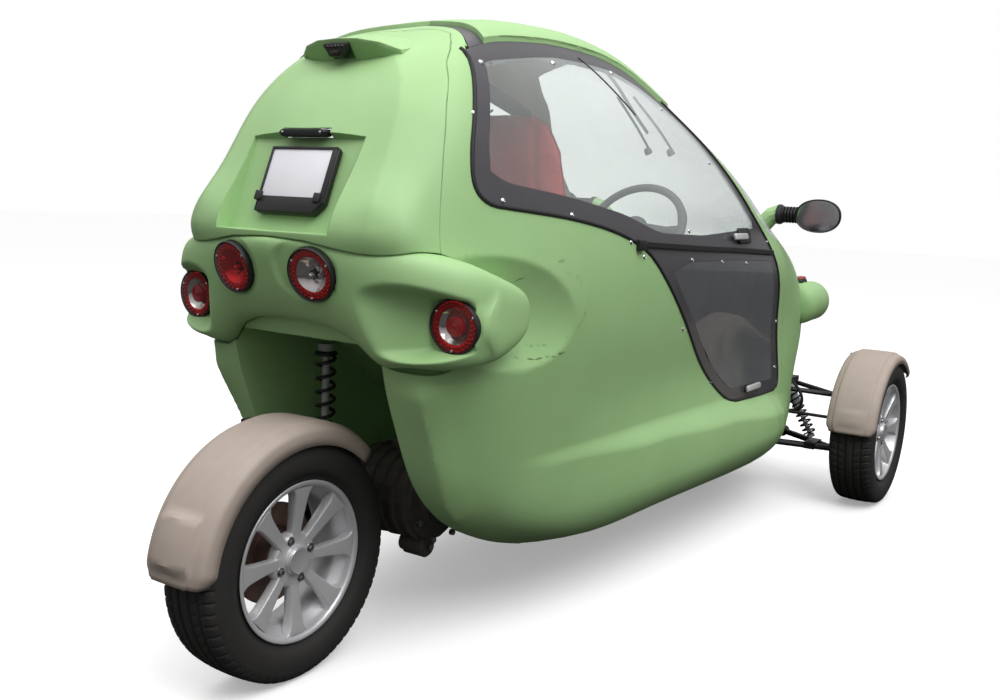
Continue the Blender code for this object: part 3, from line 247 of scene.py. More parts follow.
nodeFinishes = {
    "green": (green, ("body_shell", "tail_shell", "nose_panel", "roof_panel", "lamp_bar",
                      "mirror_arm_left", "mirror_arm_right", "headlamp_left",
                      "headlamp_right")),
    "clear": (clearPane, ("windscreen", "door_window_left", "door_window_right")),
    "smoked": (smokedPane, ("door_lower_pane_left", "door_lower_pane_right")),
    "border": (borderBlack, ("door_left", "door_right", "roof_strip")),
    "black": (blackPlastic, ("plate_holder", "plate_lamp", "high_brake_lamp",
                             "mirror_head_left", "mirror_head_right", "steering_wheel")),
    "taupe": (taupePlastic, ("rear_mudguard", "front_mudguard_left", "front_mudguard_right")),
    "tyres": (tyreRubber, ("tyre_rear", "tyre_front_left", "tyre_front_right")),
    "rims": (silverAlloy, ("rim_rear", "rim_front_left", "rim_front_right")),
    "steel": (blackSteel, ("chassis", "knuckle_left", "knuckle_right", "lower_arm_left",
                           "lower_arm_right", "upper_arm_left", "upper_arm_right",
                           "damper_left", "damper_right", "rear_damper", "swing_arm",
                           "steering_rack")),
    "motor": (motorPaint, ("drive_motor", "battery_pack")),
    "seats": (redCloth, ("front_seat", "rear_seat")),
    "grey": (greyPlastic, ("dashboard",)),
    "red": (redLens, ("tail_lamp_inner_left", "tail_lamp_outer_left",
                      "tail_lamp_outer_right")),
    "white": (clearLens, ("tail_lamp_inner_right",)),
}
for finish, names in nodeFinishes.values():
    for name in names:
        data = nodes[name].data
        data.materials.clear()
        data.materials.append(finish)


print("hull surface")
# The mould's surface as hoops round the car: rear centre, rear quarter, corner, seam,
# pillar, waist, front post, front corner and nose, each as (x, out from the middle, z).
hullHoops = (
    ((0.62, 0, 0.190), (0.62, 0.120, 0.190), (0.64, 0.200, 0.190), (0.72, 0.260, 0.190),
     (0.90, 0.326, 0.190), (1.30, 0.354, 0.192), (2.08, 0.374, 0.178), (2.41, 0.298, 0.186),
     (2.56, 0, 0.196)),
    ((0.36, 0, 0.300), (0.36, 0.120, 0.300), (0.37, 0.225, 0.300), (0.45, 0.303, 0.300),
     (0.65, 0.370, 0.284), (1.20, 0.422, 0.282), (2.13, 0.427, 0.268), (2.48, 0.350, 0.300),
     (2.72, 0, 0.340)),
    ((0.19, 0, 0.450), (0.19, 0.120, 0.450), (0.20, 0.255, 0.450), (0.27, 0.325, 0.450),
     (0.50, 0.382, 0.450), (1.20, 0.426, 0.450), (2.13, 0.420, 0.450), (2.53, 0.352, 0.460),
     (2.80, 0, 0.480)),
    ((0.12, 0, 0.600), (0.12, 0.130, 0.600), (0.13, 0.286, 0.600), (0.20, 0.350, 0.600),
     (0.42, 0.400, 0.600), (1.15, 0.418, 0.600), (2.09, 0.406, 0.600), (2.59, 0.350, 0.610),
     (2.83, 0, 0.620)),
    ((0.07, 0, 0.750), (0.07, 0.150, 0.750), (0.08, 0.320, 0.750), (0.15, 0.378, 0.750),
     (0.36, 0.420, 0.750), (1.10, 0.440, 0.750), (2.09, 0.413, 0.750), (2.57, 0.352, 0.750),
     (2.81, 0, 0.760)),
    ((0.01, 0, 0.900), (0.02, 0.180, 0.900), (0.07, 0.325, 0.900), (0.15, 0.385, 0.900),
     (0.32, 0.430, 0.910), (1.10, 0.450, 0.920), (2.00, 0.428, 0.920), (2.43, 0.345, 0.920),
     (2.68, 0, 0.920)),
    ((-0.06, 0, 1.030), (-0.045, 0.200, 1.030), (0.01, 0.325, 1.035), (0.10, 0.352, 1.040),
     (0.26, 0.400, 1.050), (1.05, 0.440, 1.060), (1.94, 0.392, 1.050), (2.22, 0.318, 1.050),
     (2.46, 0, 1.030)),
    ((-0.01, 0, 1.150), (0.01, 0.170, 1.150), (0.055, 0.285, 1.160), (0.12, 0.330, 1.170),
     (0.25, 0.375, 1.180), (1.00, 0.415, 1.190), (1.83, 0.362, 1.170), (2.02, 0.292, 1.160),
     (2.19, 0, 1.130)),
    ((0.07, 0, 1.280), (0.085, 0.150, 1.285), (0.12, 0.250, 1.290), (0.17, 0.300, 1.310),
     (0.28, 0.340, 1.320), (0.95, 0.372, 1.340), (1.61, 0.314, 1.310), (1.77, 0.248, 1.300),
     (1.92, 0, 1.280)),
    ((0.15, 0, 1.390), (0.16, 0.130, 1.395), (0.20, 0.220, 1.400), (0.25, 0.260, 1.420),
     (0.36, 0.285, 1.440), (0.95, 0.306, 1.460), (1.375, 0.254, 1.430), (1.51, 0.200, 1.430),
     (1.63, 0, 1.430)),
    ((0.27, 0, 1.480), (0.28, 0.100, 1.485), (0.32, 0.170, 1.495), (0.38, 0.200, 1.510),
     (0.50, 0.215, 1.530), (0.95, 0.220, 1.545), (1.25, 0.172, 1.532), (1.34, 0.125, 1.533),
     (1.43, 0, 1.535)),
    ((0.50, 0, 1.555), (0.505, 0.050, 1.556), (0.53, 0.090, 1.558), (0.58, 0.105, 1.565),
     (0.68, 0.110, 1.575), (0.95, 0.110, 1.590), (1.10, 0.080, 1.592), (1.14, 0.050, 1.593),
     (1.18, 0, 1.592)),
)
hullCrown = (0.85, 0, 1.603)
hullFloor = (1.50, 0, 0.188)
hullSteps = {"columns": (1, 2, 1, 2, 2, 3, 2, 2), "hoops": (1, 1, 1, 1, 1, 1, 1, 2, 2, 2, 1)}
wall = 0.006
roofRise = 0.010


def spline(points, steps, closed):
    # Cubic spline through the points with a fixed number of steps in each interval.
    points = np.array(points, float)
    count = len(points)
    nextPoints = np.roll(points, -1, 0)
    spans = np.maximum(np.linalg.norm(nextPoints - points, axis=1), 1e-6) ** 0.5
    system = np.eye(count)
    right = np.zeros((count, 3))
    for i in range(0 if closed else 1, count if closed else count - 1):
        before = spans[i - 1]
        after = spans[i]
        system[i] = 0
        system[i, i - 1] += before
        system[i, i] += 2 * (before + after)
        system[i, (i + 1) % count] += after
        right[i] = 6 * ((nextPoints[i] - points[i]) / after - (points[i] - points[i - 1]) / before)
    bend = np.linalg.solve(system, right)
    curve = []
    for i in range(count if closed else count - 1):
        j = (i + 1) % count
        span = spans[i]
        for k in range(steps[i]):
            t = span * k / steps[i]
            rest = span - t
            curve.append(bend[i] * rest ** 3 / (6 * span) + bend[j] * t ** 3 / (6 * span)
                         + (points[i] / span - bend[i] * span / 6) * rest
                         + (points[j] / span - bend[j] * span / 6) * t)
    if not closed:
        curve.append(points[-1])
    return np.array(curve)


def hullMesh(finer, inset):
    columns = [n * finer for n in hullSteps["columns"]]
    rings = []
    for hoop in hullHoops:
        right = [place(x, -y, z) for x, y, z in hoop]
        left = [place(x, y, z) for x, y, z in reversed(hoop[1:-1])]
        rings.append(spline(right + left, columns + columns[::-1], True))
    rings = np.array(rings)
    hoops = [n * finer for n in hullSteps["hoops"]]
    grid = np.array([spline(rings[:, i], hoops, False) for i in range(rings.shape[1])])
    grid = grid.transpose(1, 0, 2)
    rows, around, _ = grid.shape
    bm = bmesh.new()
    points = [bm.verts.new(p) for p in grid.reshape(-1, 3)]
    floor = bm.verts.new(place(*hullFloor))
    crown = bm.verts.new(place(*hullCrown))
    for r in range(rows - 1):
        for i in range(around):
            j = (i + 1) % around
            bm.faces.new((points[r * around + i], points[r * around + j],
                          points[(r + 1) * around + j], points[(r + 1) * around + i]))
    top = (rows - 1) * around
    for i in range(around):
        j = (i + 1) % around
        bm.faces.new((floor, points[j], points[i]))
        bm.faces.new((crown, points[top + i], points[top + j]))
    bmesh.ops.recalc_face_normals(bm, faces=bm.faces)
    bmesh.ops.triangulate(bm, faces=bm.faces)
    bm.normal_update()
    normals = []
    for vertex in bm.verts:
        direction = Vector((0, 0, 0))
        for face in vertex.link_faces:
            direction += face.normal * face.calc_area()
        normals.append(direction.normalized())
    for vertex, normal in zip(bm.verts, normals):
        vertex.co -= normal * inset
    return bm, normals


hullRelief = {
    # Crests where two faces of the mould meet: points, height, reach to each side.
    "crests": (
        (((0.225, 0.110, 1.462), (0.160, 0.189, 1.375), (0.118, 0.220, 1.306),
          (0.070, 0.236, 1.218), (0.017, 0.250, 1.133), (-0.028, 0.259, 1.050)), 0.009, 0.075),
        (((0.085, 0.320, 0.730), (0.125, 0.312, 0.634), (0.178, 0.303, 0.532),
          (0.251, 0.282, 0.412), (0.348, 0.266, 0.329)), 0.013, 0.080),
    ),
    # The step board along each flank: x, top and foot of its upper slope, how far it stands out.
    "board": ((0.40, 0.500, 0.470, 0.0), (0.62, 0.506, 0.460, 0.009),
              (1.07, 0.508, 0.440, 0.028), (1.55, 0.498, 0.415, 0.044),
              (2.00, 0.462, 0.378, 0.054), (2.12, 0.450, 0.365, 0.038),
              (2.22, 0.440, 0.352, 0.017), (2.34, 0.432, 0.345, 0.0)),
    # The dish round each pod: middle x and z, half length, half height, depth, its tilt.
    "dish": (0.285, 0.866, 0.258, 0.130, 0.044, -0.12),
}


def rampUp(value, low, high):
    t = min(max((value - low) / (high - low), 0.0), 1.0)
    return t * t * (3 - 2 * t)


def reliefAt(point):
    # How far the mould stands out from the plain hull here, in metres.
    x = point.x - rearAxleX
    y = abs(point.y)
    z = point.z
    total = 0.0
    for line, height, reach in hullRelief["crests"]:
        if not line[-1][2] - reach < z < line[0][2] + reach:
            continue
        here = Vector((x, y, z))
        nearest = 1.0
        along = 0.0
        for k in range(len(line) - 1):
            first = Vector(line[k])
            step = Vector(line[k + 1]) - first
            share = min(max((here - first).dot(step) / step.length_squared, 0.0), 1.0)
            gap = (here - first - step * share).length
            if gap < nearest:
                nearest = gap
                along = (k + share) / (len(line) - 1)
        ends = rampUp(along, -0.02, 0.12) * (1 - rampUp(along, 0.88, 1.0) * 0.6)
        total += height * ends * max(0.0, 1 - nearest / reach) ** 1.6
    board = hullRelief["board"]
    if y > 0.2 and board[0][0] < x < board[-1][0] and z < 0.56:
        k = max(i for i in range(len(board) - 1) if board[i][0] <= x)
        share = rampUp(x, board[k][0], board[k + 1][0])
        _, top, foot, out = (a + (b - a) * share for a, b in zip(board[k], board[k + 1]))
        total += out * (1 - rampUp(z, foot, top)) * rampUp(z, 0.165, 0.330)
    if y > 0.3:
        midX, midZ, halfLength, halfHeight, depth, tilt = hullRelief["dish"]
        across = x - midX
        level = z - midZ - tilt * across
        radius = (across / halfLength) ** 2 + (level / halfHeight) ** 2
        total -= depth * smoothRim(1 - radius)
    return total


def smoothRim(value):
    # 0 outside, rising as value inside, the join rounded.
    if value <= -0.08:
        return 0.0
    if value < 0.08:
        return (value + 0.08) ** 2 / 0.32
    return value


class HullLayer:
    # One skin of the hull: the solid's flat-sided surface and the smooth one it stands for.
    def __init__(self, inset):
        coarse, _ = hullMesh(1, inset)
        self.coarse = BVHTree.FromBMesh(coarse)
        coarse.free()
        fine, self.normals = hullMesh(6, inset)
        self.fine = BVHTree.FromBMesh(fine)
        self.faces = [tuple(v.index for v in face.verts) for face in fine.faces]
        self.points = [v.co.copy() for v in fine.verts]
        self.side = -1.0 if inset == wall else 1.0
        fine.free()
        self.dish = {sign: dishTree(sign, max(inset, 0.0)) for sign in (-1, 1)}

    def holds(self, point):
        hit = self.coarse.find_nearest(point, 0.001)
        if hit[0] is not None and hit[3] < 0.00025:
            return True
        if abs(point.y) < 0.39:
            return False
        hit = self.dish[1 if point.y > 0 else -1].find_nearest(point, 0.001)
        return hit[0] is not None and hit[3] < 0.00025

    def smooth(self, point):
        spot, _, index, _ = self.fine.find_nearest(point)
        corners = self.faces[index]
        a, b, c = (self.points[i] for i in corners)
        weights = np.clip(barycentric(spot, a, b, c), 0, 1)
        normal = Vector((0, 0, 0))
        for weight, i in zip(weights, corners):
            normal += self.normals[i] * float(weight)
        normal = normal.normalized()
        relief = reliefAt(spot)
        across = normal.orthogonal().normalized()
        beyond = normal.cross(across)
        step = 0.002
        slopes = [(reliefAt(spot + way * step) - reliefAt(spot - way * step)) / (2 * step)
                  for way in (across, beyond)]
        raised = (normal - across * slopes[0] - beyond * slopes[1]).normalized()
        return spot + normal * relief, raised * self.side


def dishTree(sign, inset):
    # The flank's dish as its solid has it, to find the faces that belong to it.
    rings = []
    for degrees in (7, 15, 23, 31, 38):
        out = math.sin(math.radians(degrees))
        deep = math.cos(math.radians(degrees))
        rings.append([place(0.372 + (0.430 + inset) * out * math.cos(math.pi * i / 9),
                            sign * (0.600 - (0.193 + inset) * deep),
                            0.862 + (0.245 + inset) * out * math.sin(math.pi * i / 9))
                      for i in range(18)])
    corners = [p for ring in rings for p in ring]
    faces = [tuple(range(18))]
    for r in range(len(rings) - 1):
        for i in range(18):
            j = (i + 1) % 18
            quad = (r * 18 + i, r * 18 + j, (r + 1) * 18 + j, (r + 1) * 18 + i)
            faces.append(quad)
    bm = bmesh.new()
    made = [bm.verts.new(p) for p in corners]
    for face in faces:
        bm.faces.new([made[i] for i in face])
    bmesh.ops.triangulate(bm, faces=bm.faces)
    tree = BVHTree.FromBMesh(bm)
    bm.free()
    return tree


def barycentric(point, a, b, c):
    first = b - a
    second = c - a
    third = point - a
    d00 = first.dot(first)
    d01 = first.dot(second)
    d11 = second.dot(second)
    d20 = third.dot(first)
    d21 = third.dot(second)
    scale = d00 * d11 - d01 * d01
    if abs(scale) < 1e-16:
        return (1.0, 0.0, 0.0)
    v = (d11 * d20 - d01 * d21) / scale
    w = (d00 * d21 - d01 * d20) / scale
    return (1 - v - w, v, w)


outerSkin = HullLayer(0.0)
innerSkin = HullLayer(wall)
roofSkin = HullLayer(-roofRise)


def reliefNear(point):
    # 1 where the mould's relief bends sharply, so that the mesh is finer there.
    x = point.x - rearAxleX
    y = abs(point.y)
    if y > 0.38 and 0.0 < x < 0.60 and 0.70 < point.z < 1.03:
        return True
    for line, _, reach in hullRelief["crests"]:
        if line[-1][2] < point.z < line[0][2]:
            for first, second in zip(line, line[1:]):
                if second[2] <= point.z <= first[2]:
                    share = (point.z - first[2]) / (second[2] - first[2])
                    midX = first[0] + (second[0] - first[0]) * share
                    midY = first[1] + (second[1] - first[1]) * share
                    if abs(x - midX) + abs(y - midY) < 0.07:
                        return True
    return 0.6 < x < 2.45 and y > 0.3 and 0.34 < point.z < 0.52


def splitLongEdges(bm, length, rounds):
    for _ in range(rounds):
        longEdges = []
        for edge in bm.edges:
            span = edge.calc_length()
            if span > length or (span > 0.6 * length
                                 and reliefNear((edge.verts[0].co + edge.verts[1].co) / 2)):
                longEdges.append(edge)
        if not longEdges:
            break
        bmesh.ops.subdivide_edges(bm, edges=longEdges, cuts=1)
        bmesh.ops.triangulate(bm, faces=[f for f in bm.faces if len(f.verts) > 3])


def smoothRims(bm, faceSkin, index, skin, onSkin, rounds=9):
    # The edges of a skin run in fair curves; only its sharp corners stay.
    beside = {}
    for edge in bm.edges:
        if sum(faceSkin.get(face.index) == index for face in edge.link_faces) == 1:
            first, second = edge.verts
            beside.setdefault(first, []).append(second)
            beside.setdefault(second, []).append(first)
    free = []
    for vertex, others in beside.items():
        if len(others) == 2:
            before = (vertex.co - others[0].co).normalized()
            after = (others[1].co - vertex.co).normalized()
            if before.dot(after) > 0.62:
                free.append(vertex)
    for _ in range(rounds):
        moved = {v: (beside[v][0].co + beside[v][1].co) * 0.25 + v.co * 0.5 for v in free}
        for vertex, spot in moved.items():
            vertex.co = spot
    for vertex in free:
        found = skin.smooth(vertex.co)
        vertex.co = found[0]
        onSkin[vertex.index][index] = found


def smoothPanel(name, skins, materialOf, spacing=0.022):
    # The panel's solid with its hull faces laid on the smooth surface; its cut edges stay.
    bm = bmesh.new()
    bm.from_mesh(nodes[name].data)
    bmesh.ops.remove_doubles(bm, verts=bm.verts, dist=2e-5)
    bmesh.ops.triangulate(bm, faces=bm.faces)
    splitLongEdges(bm, spacing, 7)
    bm.verts.index_update()
    onSkin = []
    for vertex in bm.verts:
        found = {}
        for index, skin in enumerate(skins):
            if skin.holds(vertex.co):
                found[index] = skin.smooth(vertex.co)
        onSkin.append(found)
    bm.normal_update()
    faceSkin = {}
    for face in bm.faces:
        for index in range(len(skins)):
            if all(index in onSkin[v.index] for v in face.verts):
                middle = onSkin[face.verts[0].index][index][1]
                if middle.dot(face.normal) > 0.7:
                    faceSkin[face.index] = index
                    face.material_index = index
    for vertex in bm.verts:
        for spot, _ in onSkin[vertex.index].values():
            vertex.co = spot
    for index, skin in enumerate(skins):
        smoothRims(bm, faceSkin, index, skin, onSkin)
    bm.normal_update()
    normals = []
    for face in bm.faces:
        index = faceSkin.get(face.index)
        for loop in face.loops:
            if index is not None:
                normals.append(onSkin[loop.vert.index][index][1])
                continue
            total = Vector((0, 0, 0))
            for other in loop.vert.link_faces:
                if other.index not in faceSkin and other.normal.dot(face.normal) > 0.8:
                    total += other.normal * other.calc_area()
            normals.append(total.normalized() if total.length > 1e-12 else face.normal.copy())
    mesh = bpy.data.meshes.new(name + "_surface")
    bm.to_mesh(mesh)
    bm.free()
    mesh.shade_smooth()
    mesh.normals_split_custom_set(normals)
    for finish in materialOf:
        mesh.materials.append(finish)
    made = bpy.data.objects.new(name + "_surface", mesh)
    bpy.context.scene.collection.objects.link(made)
    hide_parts(name)
    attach(made, nodes[name]["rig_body"])
    return made


panelSkins = {
    "body_shell": (outerSkin, innerSkin, green, lining),
    "tail_shell": (outerSkin, innerSkin, green, lining),
    "nose_panel": (outerSkin, innerSkin, green, lining),
    "roof_panel": (roofSkin, innerSkin, green, lining),
    "roof_strip": (outerSkin, innerSkin, borderBlack, borderBlack),
    "door_left": (outerSkin, innerSkin, borderBlack, borderBlack),
    "door_right": (outerSkin, innerSkin, borderBlack, borderBlack),
    "windscreen": (outerSkin, innerSkin, clearPane, clearInside),
    "door_window_left": (outerSkin, innerSkin, clearPane, clearInside),
    "door_window_right": (outerSkin, innerSkin, clearPane, clearInside),
    "door_lower_pane_left": (outerSkin, innerSkin, smokedPane, smokedPane),
    "door_lower_pane_right": (outerSkin, innerSkin, smokedPane, smokedPane),
}
for name, (outside, inside, outerFinish, innerFinish) in panelSkins.items():
    smoothPanel(name, (outside, inside), (outerFinish, innerFinish))
print("panels smoothed")


# The lamp bar: sections from the middle to the pod's end, as in its solid, with the lamp
# pockets pressed into the face.
lampBar = {
    "sections": (
        # x, distance from the middle, z of the bottom, z of the top, thickness
        (-0.045, 0.000, 0.834, 1.026, 0.075),
        (-0.040, 0.110, 0.828, 1.026, 0.080),
        (-0.030, 0.190, 0.800, 1.024, 0.090),
        (-0.018, 0.262, 0.742, 1.020, 0.110),
        (0.008, 0.345, 0.738, 1.012, 0.135),
        (0.050, 0.412, 0.738, 1.004, 0.140),
        (0.108, 0.456, 0.744, 0.990, 0.120),
        (0.185, 0.474, 0.756, 0.965, 0.095),
        (0.265, 0.470, 0.785, 0.938, 0.070),
        (0.330, 0.456, 0.822, 0.902, 0.040),
    ),
    "pathSteps": 18,
    "around": 132,
    "lean": 0.36,
    "edge": 0.007,   # rounding where a pocket meets the face
    "gap": 0.003,    # shadow gap all round to the shells
}
tailLamps = {
    # x, y, z of the lens, facing, then the pocket: half length and half height, how far
    # its middle sits off the lamp towards the centre and up, and the slope of its wall
    "tail_lamp_inner_left": ((-0.047, 0.118, 0.947), (-1, 0.08, -0.26),
                             (0.078, 0.076, 0.006, 0.002, 1.5)),
    "tail_lamp_inner_right": ((-0.047, -0.122, 0.947), (-1, -0.08, -0.26),
                              (0.094, 0.082, 0.018, 0.010, 1.3)),
    # The outer pair looks straight back from the curved ends, at the end of a long ramp.
    "tail_lamp_outer_left": ((0.093, 0.404, 0.854), (-1, 0.05, -0.05), None),
    "tail_lamp_outer_right": ((0.093, -0.404, 0.854), (-1, -0.05, -0.05), None),
}


def lampFrame(name):
    # The lamp's middle, the way it faces, and its sideways and upward directions.
    spot, facing, _ = tailLamps[name]
    facing = Vector(facing).normalized()
    inward = Vector((0, -math.copysign(1, spot[1]), 0))
    inward = (inward - facing * inward.dot(facing)).normalized()
    up = facing.cross(inward)
    if up.z < 0:
        up = -up
    return place(*spot), facing, inward, up


def smoothLeast(a, b, width):
    mix = np.clip(0.5 + 0.5 * (b - a) / width, 0, 1)
    return b * (1 - mix) + a * mix - width * mix * (1 - mix)


def barSurface():
    rows = lampBar["sections"]
    half = [(x, -y, bottom, top, depth) for x, y, bottom, top, depth in rows]
    table = half[::-1] + [(x, -y, bottom, top, depth) for x, y, bottom, top, depth in half[1:]]
    steps = [lampBar["pathSteps"]] * (len(table) - 1)
    path = spline([(x, y, 0) for x, y, _, _, _ in table], steps, False)
    # The heights and depths follow the same steps, each by its own smooth curve.
    sizes = spline([(bottom, top, depth) for _, _, bottom, top, depth in table], steps, False)
    count = lampBar["around"]
    turn = 2 * math.pi * (np.arange(count) + 0.5) / count
    rings = []
    last = len(path) - 1
    for k in range(len(path)):
        before = path[max(k - 1, 0)]
        after = path[min(k + 1, last)]
        along = (after - before) / np.linalg.norm(after - before)
        inward = np.array((-along[1], along[0], 0))
        if inward.dot(np.array((0.6, 0, 0)) - path[k]) < 0:
            inward = -inward
        bottom, top, depth = sizes[k]
        # Under the pods the edge is crisper and lifted clear of the tub.
        outward = min(max((abs(path[k][1]) - 0.20) / 0.12, 0.0), 1.0)
        power = np.where(turn < math.pi, 0.6, 0.9 - 0.28 * outward)
        out = np.sign(np.cos(turn)) * np.abs(np.cos(turn)) ** power
        up = np.sign(np.sin(turn)) * np.abs(np.sin(turn)) ** power
        bottom = bottom + 0.016 * outward
        # The tips close in a quarter round over their last steps.
        edge = min(k, last - k) / 14
        close = math.sqrt(max(0.0, 1 - (1 - min(edge, 1)) ** 2)) * 0.9 + 0.1
        middle = (bottom + top) / 2
        gap = lampBar["gap"]
        height = middle + up * ((top - bottom) / 2 - gap) * close
        depthHere = depth / 2 - out * (depth / 2 - gap * (out < 0)) * close
        lean = lampBar["lean"] * max(0.0, 1.0 - abs(path[k][1]) / 0.45)
        ring = np.zeros((count, 3))
        ring[:, 0] = path[k][0] - lean * (height - 0.930) + inward[0] * depthHere
        ring[:, 1] = path[k][1] + inward[1] * depthHere
        ring[:, 2] = height
        rings.append(ring)
    return np.array(rings)


def lampHole(across, above):
    # The hole behind a lamp's rim, deep enough for its bowl.
    return 0.032 * np.clip((0.060 - np.hypot(across, above)) / 0.012, 0, 1)


def pressPockets(points):
    for name, (_, _, pocket) in tailLamps.items():
        middle, facing, inward, up = (np.array(v) for v in lampFrame(name))
        off = points - middle
        height = off @ facing
        if pocket is None:
            toCentre = np.maximum(off @ inward - 0.052, 0)
            above = np.maximum(np.abs(off @ up) - 0.052, 0)
            wallHeight = np.sqrt((0.86 * toCentre) ** 2 + (2.4 * above) ** 2) - 0.008
            wallHeight = wallHeight - lampHole(off @ inward, off @ up)
            lowered = smoothLeast(height, wallHeight, lampBar["edge"] * 1.6)
            inside = (off @ inward > -0.055) & (height > -0.06) & (toCentre < 0.25)
            change = np.where(inside & (above < 0.10), np.minimum(lowered - height, 0), 0)
            # On the tip's side the mould rises in a low collar to meet the lamp's rim.
            reach = np.sqrt((off @ inward) ** 2 + (off @ up) ** 2)
            collar = -0.016 - 1.5 * np.maximum(reach - 0.064, 0)
            raised = -smoothLeast(-height, -collar, 0.016)
            outside = (off @ inward < 0) & (reach < 0.10) & (height > -0.075)
            change = np.where(outside & (height < collar + 0.010),
                              np.maximum(raised - height, 0), change)
            points = points + change[:, None] * facing
            continue
        halfLength, halfHeight, shift, lift, slope = pocket
        across = off @ inward - shift
        above = off @ up - lift
        radius = np.sqrt((across / halfLength) ** 2 + (above / halfHeight) ** 2)
        wallHeight = -0.010 + slope * np.maximum(radius - 0.86, 0) * halfHeight
        wallHeight = wallHeight - lampHole(off @ inward, off @ up)
        lowered = smoothLeast(height, wallHeight, lampBar["edge"])
        near = (height > -0.030) & (radius < 2.2)
        change = np.where(near, np.minimum(lowered - height, 0), 0)
        points = points + change[:, None] * facing
    return points


def gridObject(name, rings, finish, closeEnds=True):
    # Rings of points, each closed on itself, joined into a tube with closed ends.
    rows, around, _ = rings.shape
    vertices = [tuple(p) for p in rings.reshape(-1, 3)]
    faces = []
    for r in range(rows - 1):
        for i in range(around):
            j = (i + 1) % around
            faces.append((r * around + i, r * around + j, (r + 1) * around + j,
                          (r + 1) * around + i))
    if closeEnds:
        faces.append(tuple(range(around)))
        faces.append(tuple(range((rows - 1) * around, rows * around)))
    mesh = bpy.data.meshes.new(name)
    mesh.from_pydata(vertices, [], faces)
    bm = bmesh.new()
    bm.from_mesh(mesh)
    bmesh.ops.recalc_face_normals(bm, faces=bm.faces)
    bm.to_mesh(mesh)
    bm.free()
    mesh.shade_smooth()
    mesh.materials.append(finish)
    made = bpy.data.objects.new(name, mesh)
    bpy.context.scene.collection.objects.link(made)
    return made


rings = barSurface()
rings[:, :, 0] += rearAxleX
rings = pressPockets(rings.reshape(-1, 3)).reshape(rings.shape)
barPiece = gridObject("lamp_bar_surface", rings, green)
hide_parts("lamp_bar")
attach(barPiece, "car_body")
print("lamp bar")


print("wheels and mudguards")


def meshPiece(name, vertices, faces, finishes, body, replaced=()):
    mesh = bpy.data.meshes.new(name)
    mesh.from_pydata([tuple(v) for v in vertices], [], faces)
    bm = bmesh.new()
    bm.from_mesh(mesh)
    bmesh.ops.recalc_face_normals(bm, faces=bm.faces)
    bm.to_mesh(mesh)
    bm.free()
    return meshReady(name, mesh, finishes, body, replaced)


def meshReady(name, mesh, finishes, body, replaced=(), sharp=35):
    mesh.shade_smooth()
    mesh.set_sharp_from_angle(angle=math.radians(sharp))
    for finish in finishes:
        mesh.materials.append(finish)
    made = bpy.data.objects.new(name, mesh)
    bpy.context.scene.collection.objects.link(made)
    if replaced:
        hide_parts(*replaced)
    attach(made, body)
    return made


def turnedForm(bm, profile, segments, closed, matrix=None, material=0):
    # A profile of (along the axis, radius), turned about Y inside bm.
    matrix = matrix or Matrix.Identity(4)
    rows = []
    for along, radius in profile:
        if radius < 1e-6:
            rows.append([bm.verts.new(matrix @ Vector((0, along, 0)))] * segments)
            continue
        row = []
        for i in range(segments):
            turn = 2 * math.pi * i / segments
            row.append(bm.verts.new(matrix @ Vector((radius * math.cos(turn), along,
                                                     radius * math.sin(turn)))))
        rows.append(row)
    pairs = list(zip(rows, rows[1:] + rows[:1])) if closed else list(zip(rows, rows[1:]))
    for first, second in pairs:
        for i in range(segments):
            j = (i + 1) % segments
            corners = []
            for vertex in (first[i], first[j], second[j], second[i]):
                if vertex not in corners:
                    corners.append(vertex)
            if len(corners) > 2:
                bm.faces.new(corners).material_index = material


def loftForm(bm, rings, material=0):
    rows = [[bm.verts.new(p) for p in ring] for ring in rings]
    count = len(rows[0])
    for first, second in zip(rows, rows[1:]):
        for i in range(count):
            j = (i + 1) % count
            bm.faces.new((first[i], first[j], second[j], second[i])).material_index = material
    bm.faces.new(rows[0]).material_index = material
    bm.faces.new(rows[-1]).material_index = material


def finishForm(name, bm, finishes, body, replaced=(), sharp=35):
    bmesh.ops.recalc_face_normals(bm, faces=bm.faces)
    mesh = bpy.data.meshes.new(name)
    bm.to_mesh(mesh)
    bm.free()
    return meshReady(name, mesh, finishes, body, replaced, sharp)


tyre = {
    "radius": 0.284,
    "bead": 0.1782,
    "pitches": 64,                          # tread blocks round the tyre
    "grooves": (-0.042, -0.0145, 0.0145, 0.042),
    "grooveHalf": 0.0032,
    "grooveDepth": 0.0055,
    "blockGap": 0.16,                       # share of a pitch that is cut away
}


def tyreSection():
    # Half of the outside: bead, side wall with two raised rings, shoulder and tread.
    bead = tyre["bead"]
    radius = tyre["radius"]
    side = spline([(0.0520, bead + 0.001, 0), (0.0606, bead + 0.005, 0), (0.0640, 0.1960, 0),
                   (0.0760, 0.2090, 0), (0.0822, 0.2280, 0), (0.0820, 0.2450, 0),
                   (0.0775, 0.2640, 0), (0.0715, 0.2745, 0), (0.0640, 0.2796, 0)],
                  (3, 4, 4, 5, 5, 5, 4, 3), False)[:, :2]
    crown = []
    for k in range(1, 26):
        a = 0.0640 * (1 - k / 25)
        crown.append((a, radius - 0.0044 * (a / 0.0640) ** 2.4))
    return [tuple(p) for p in side] + crown


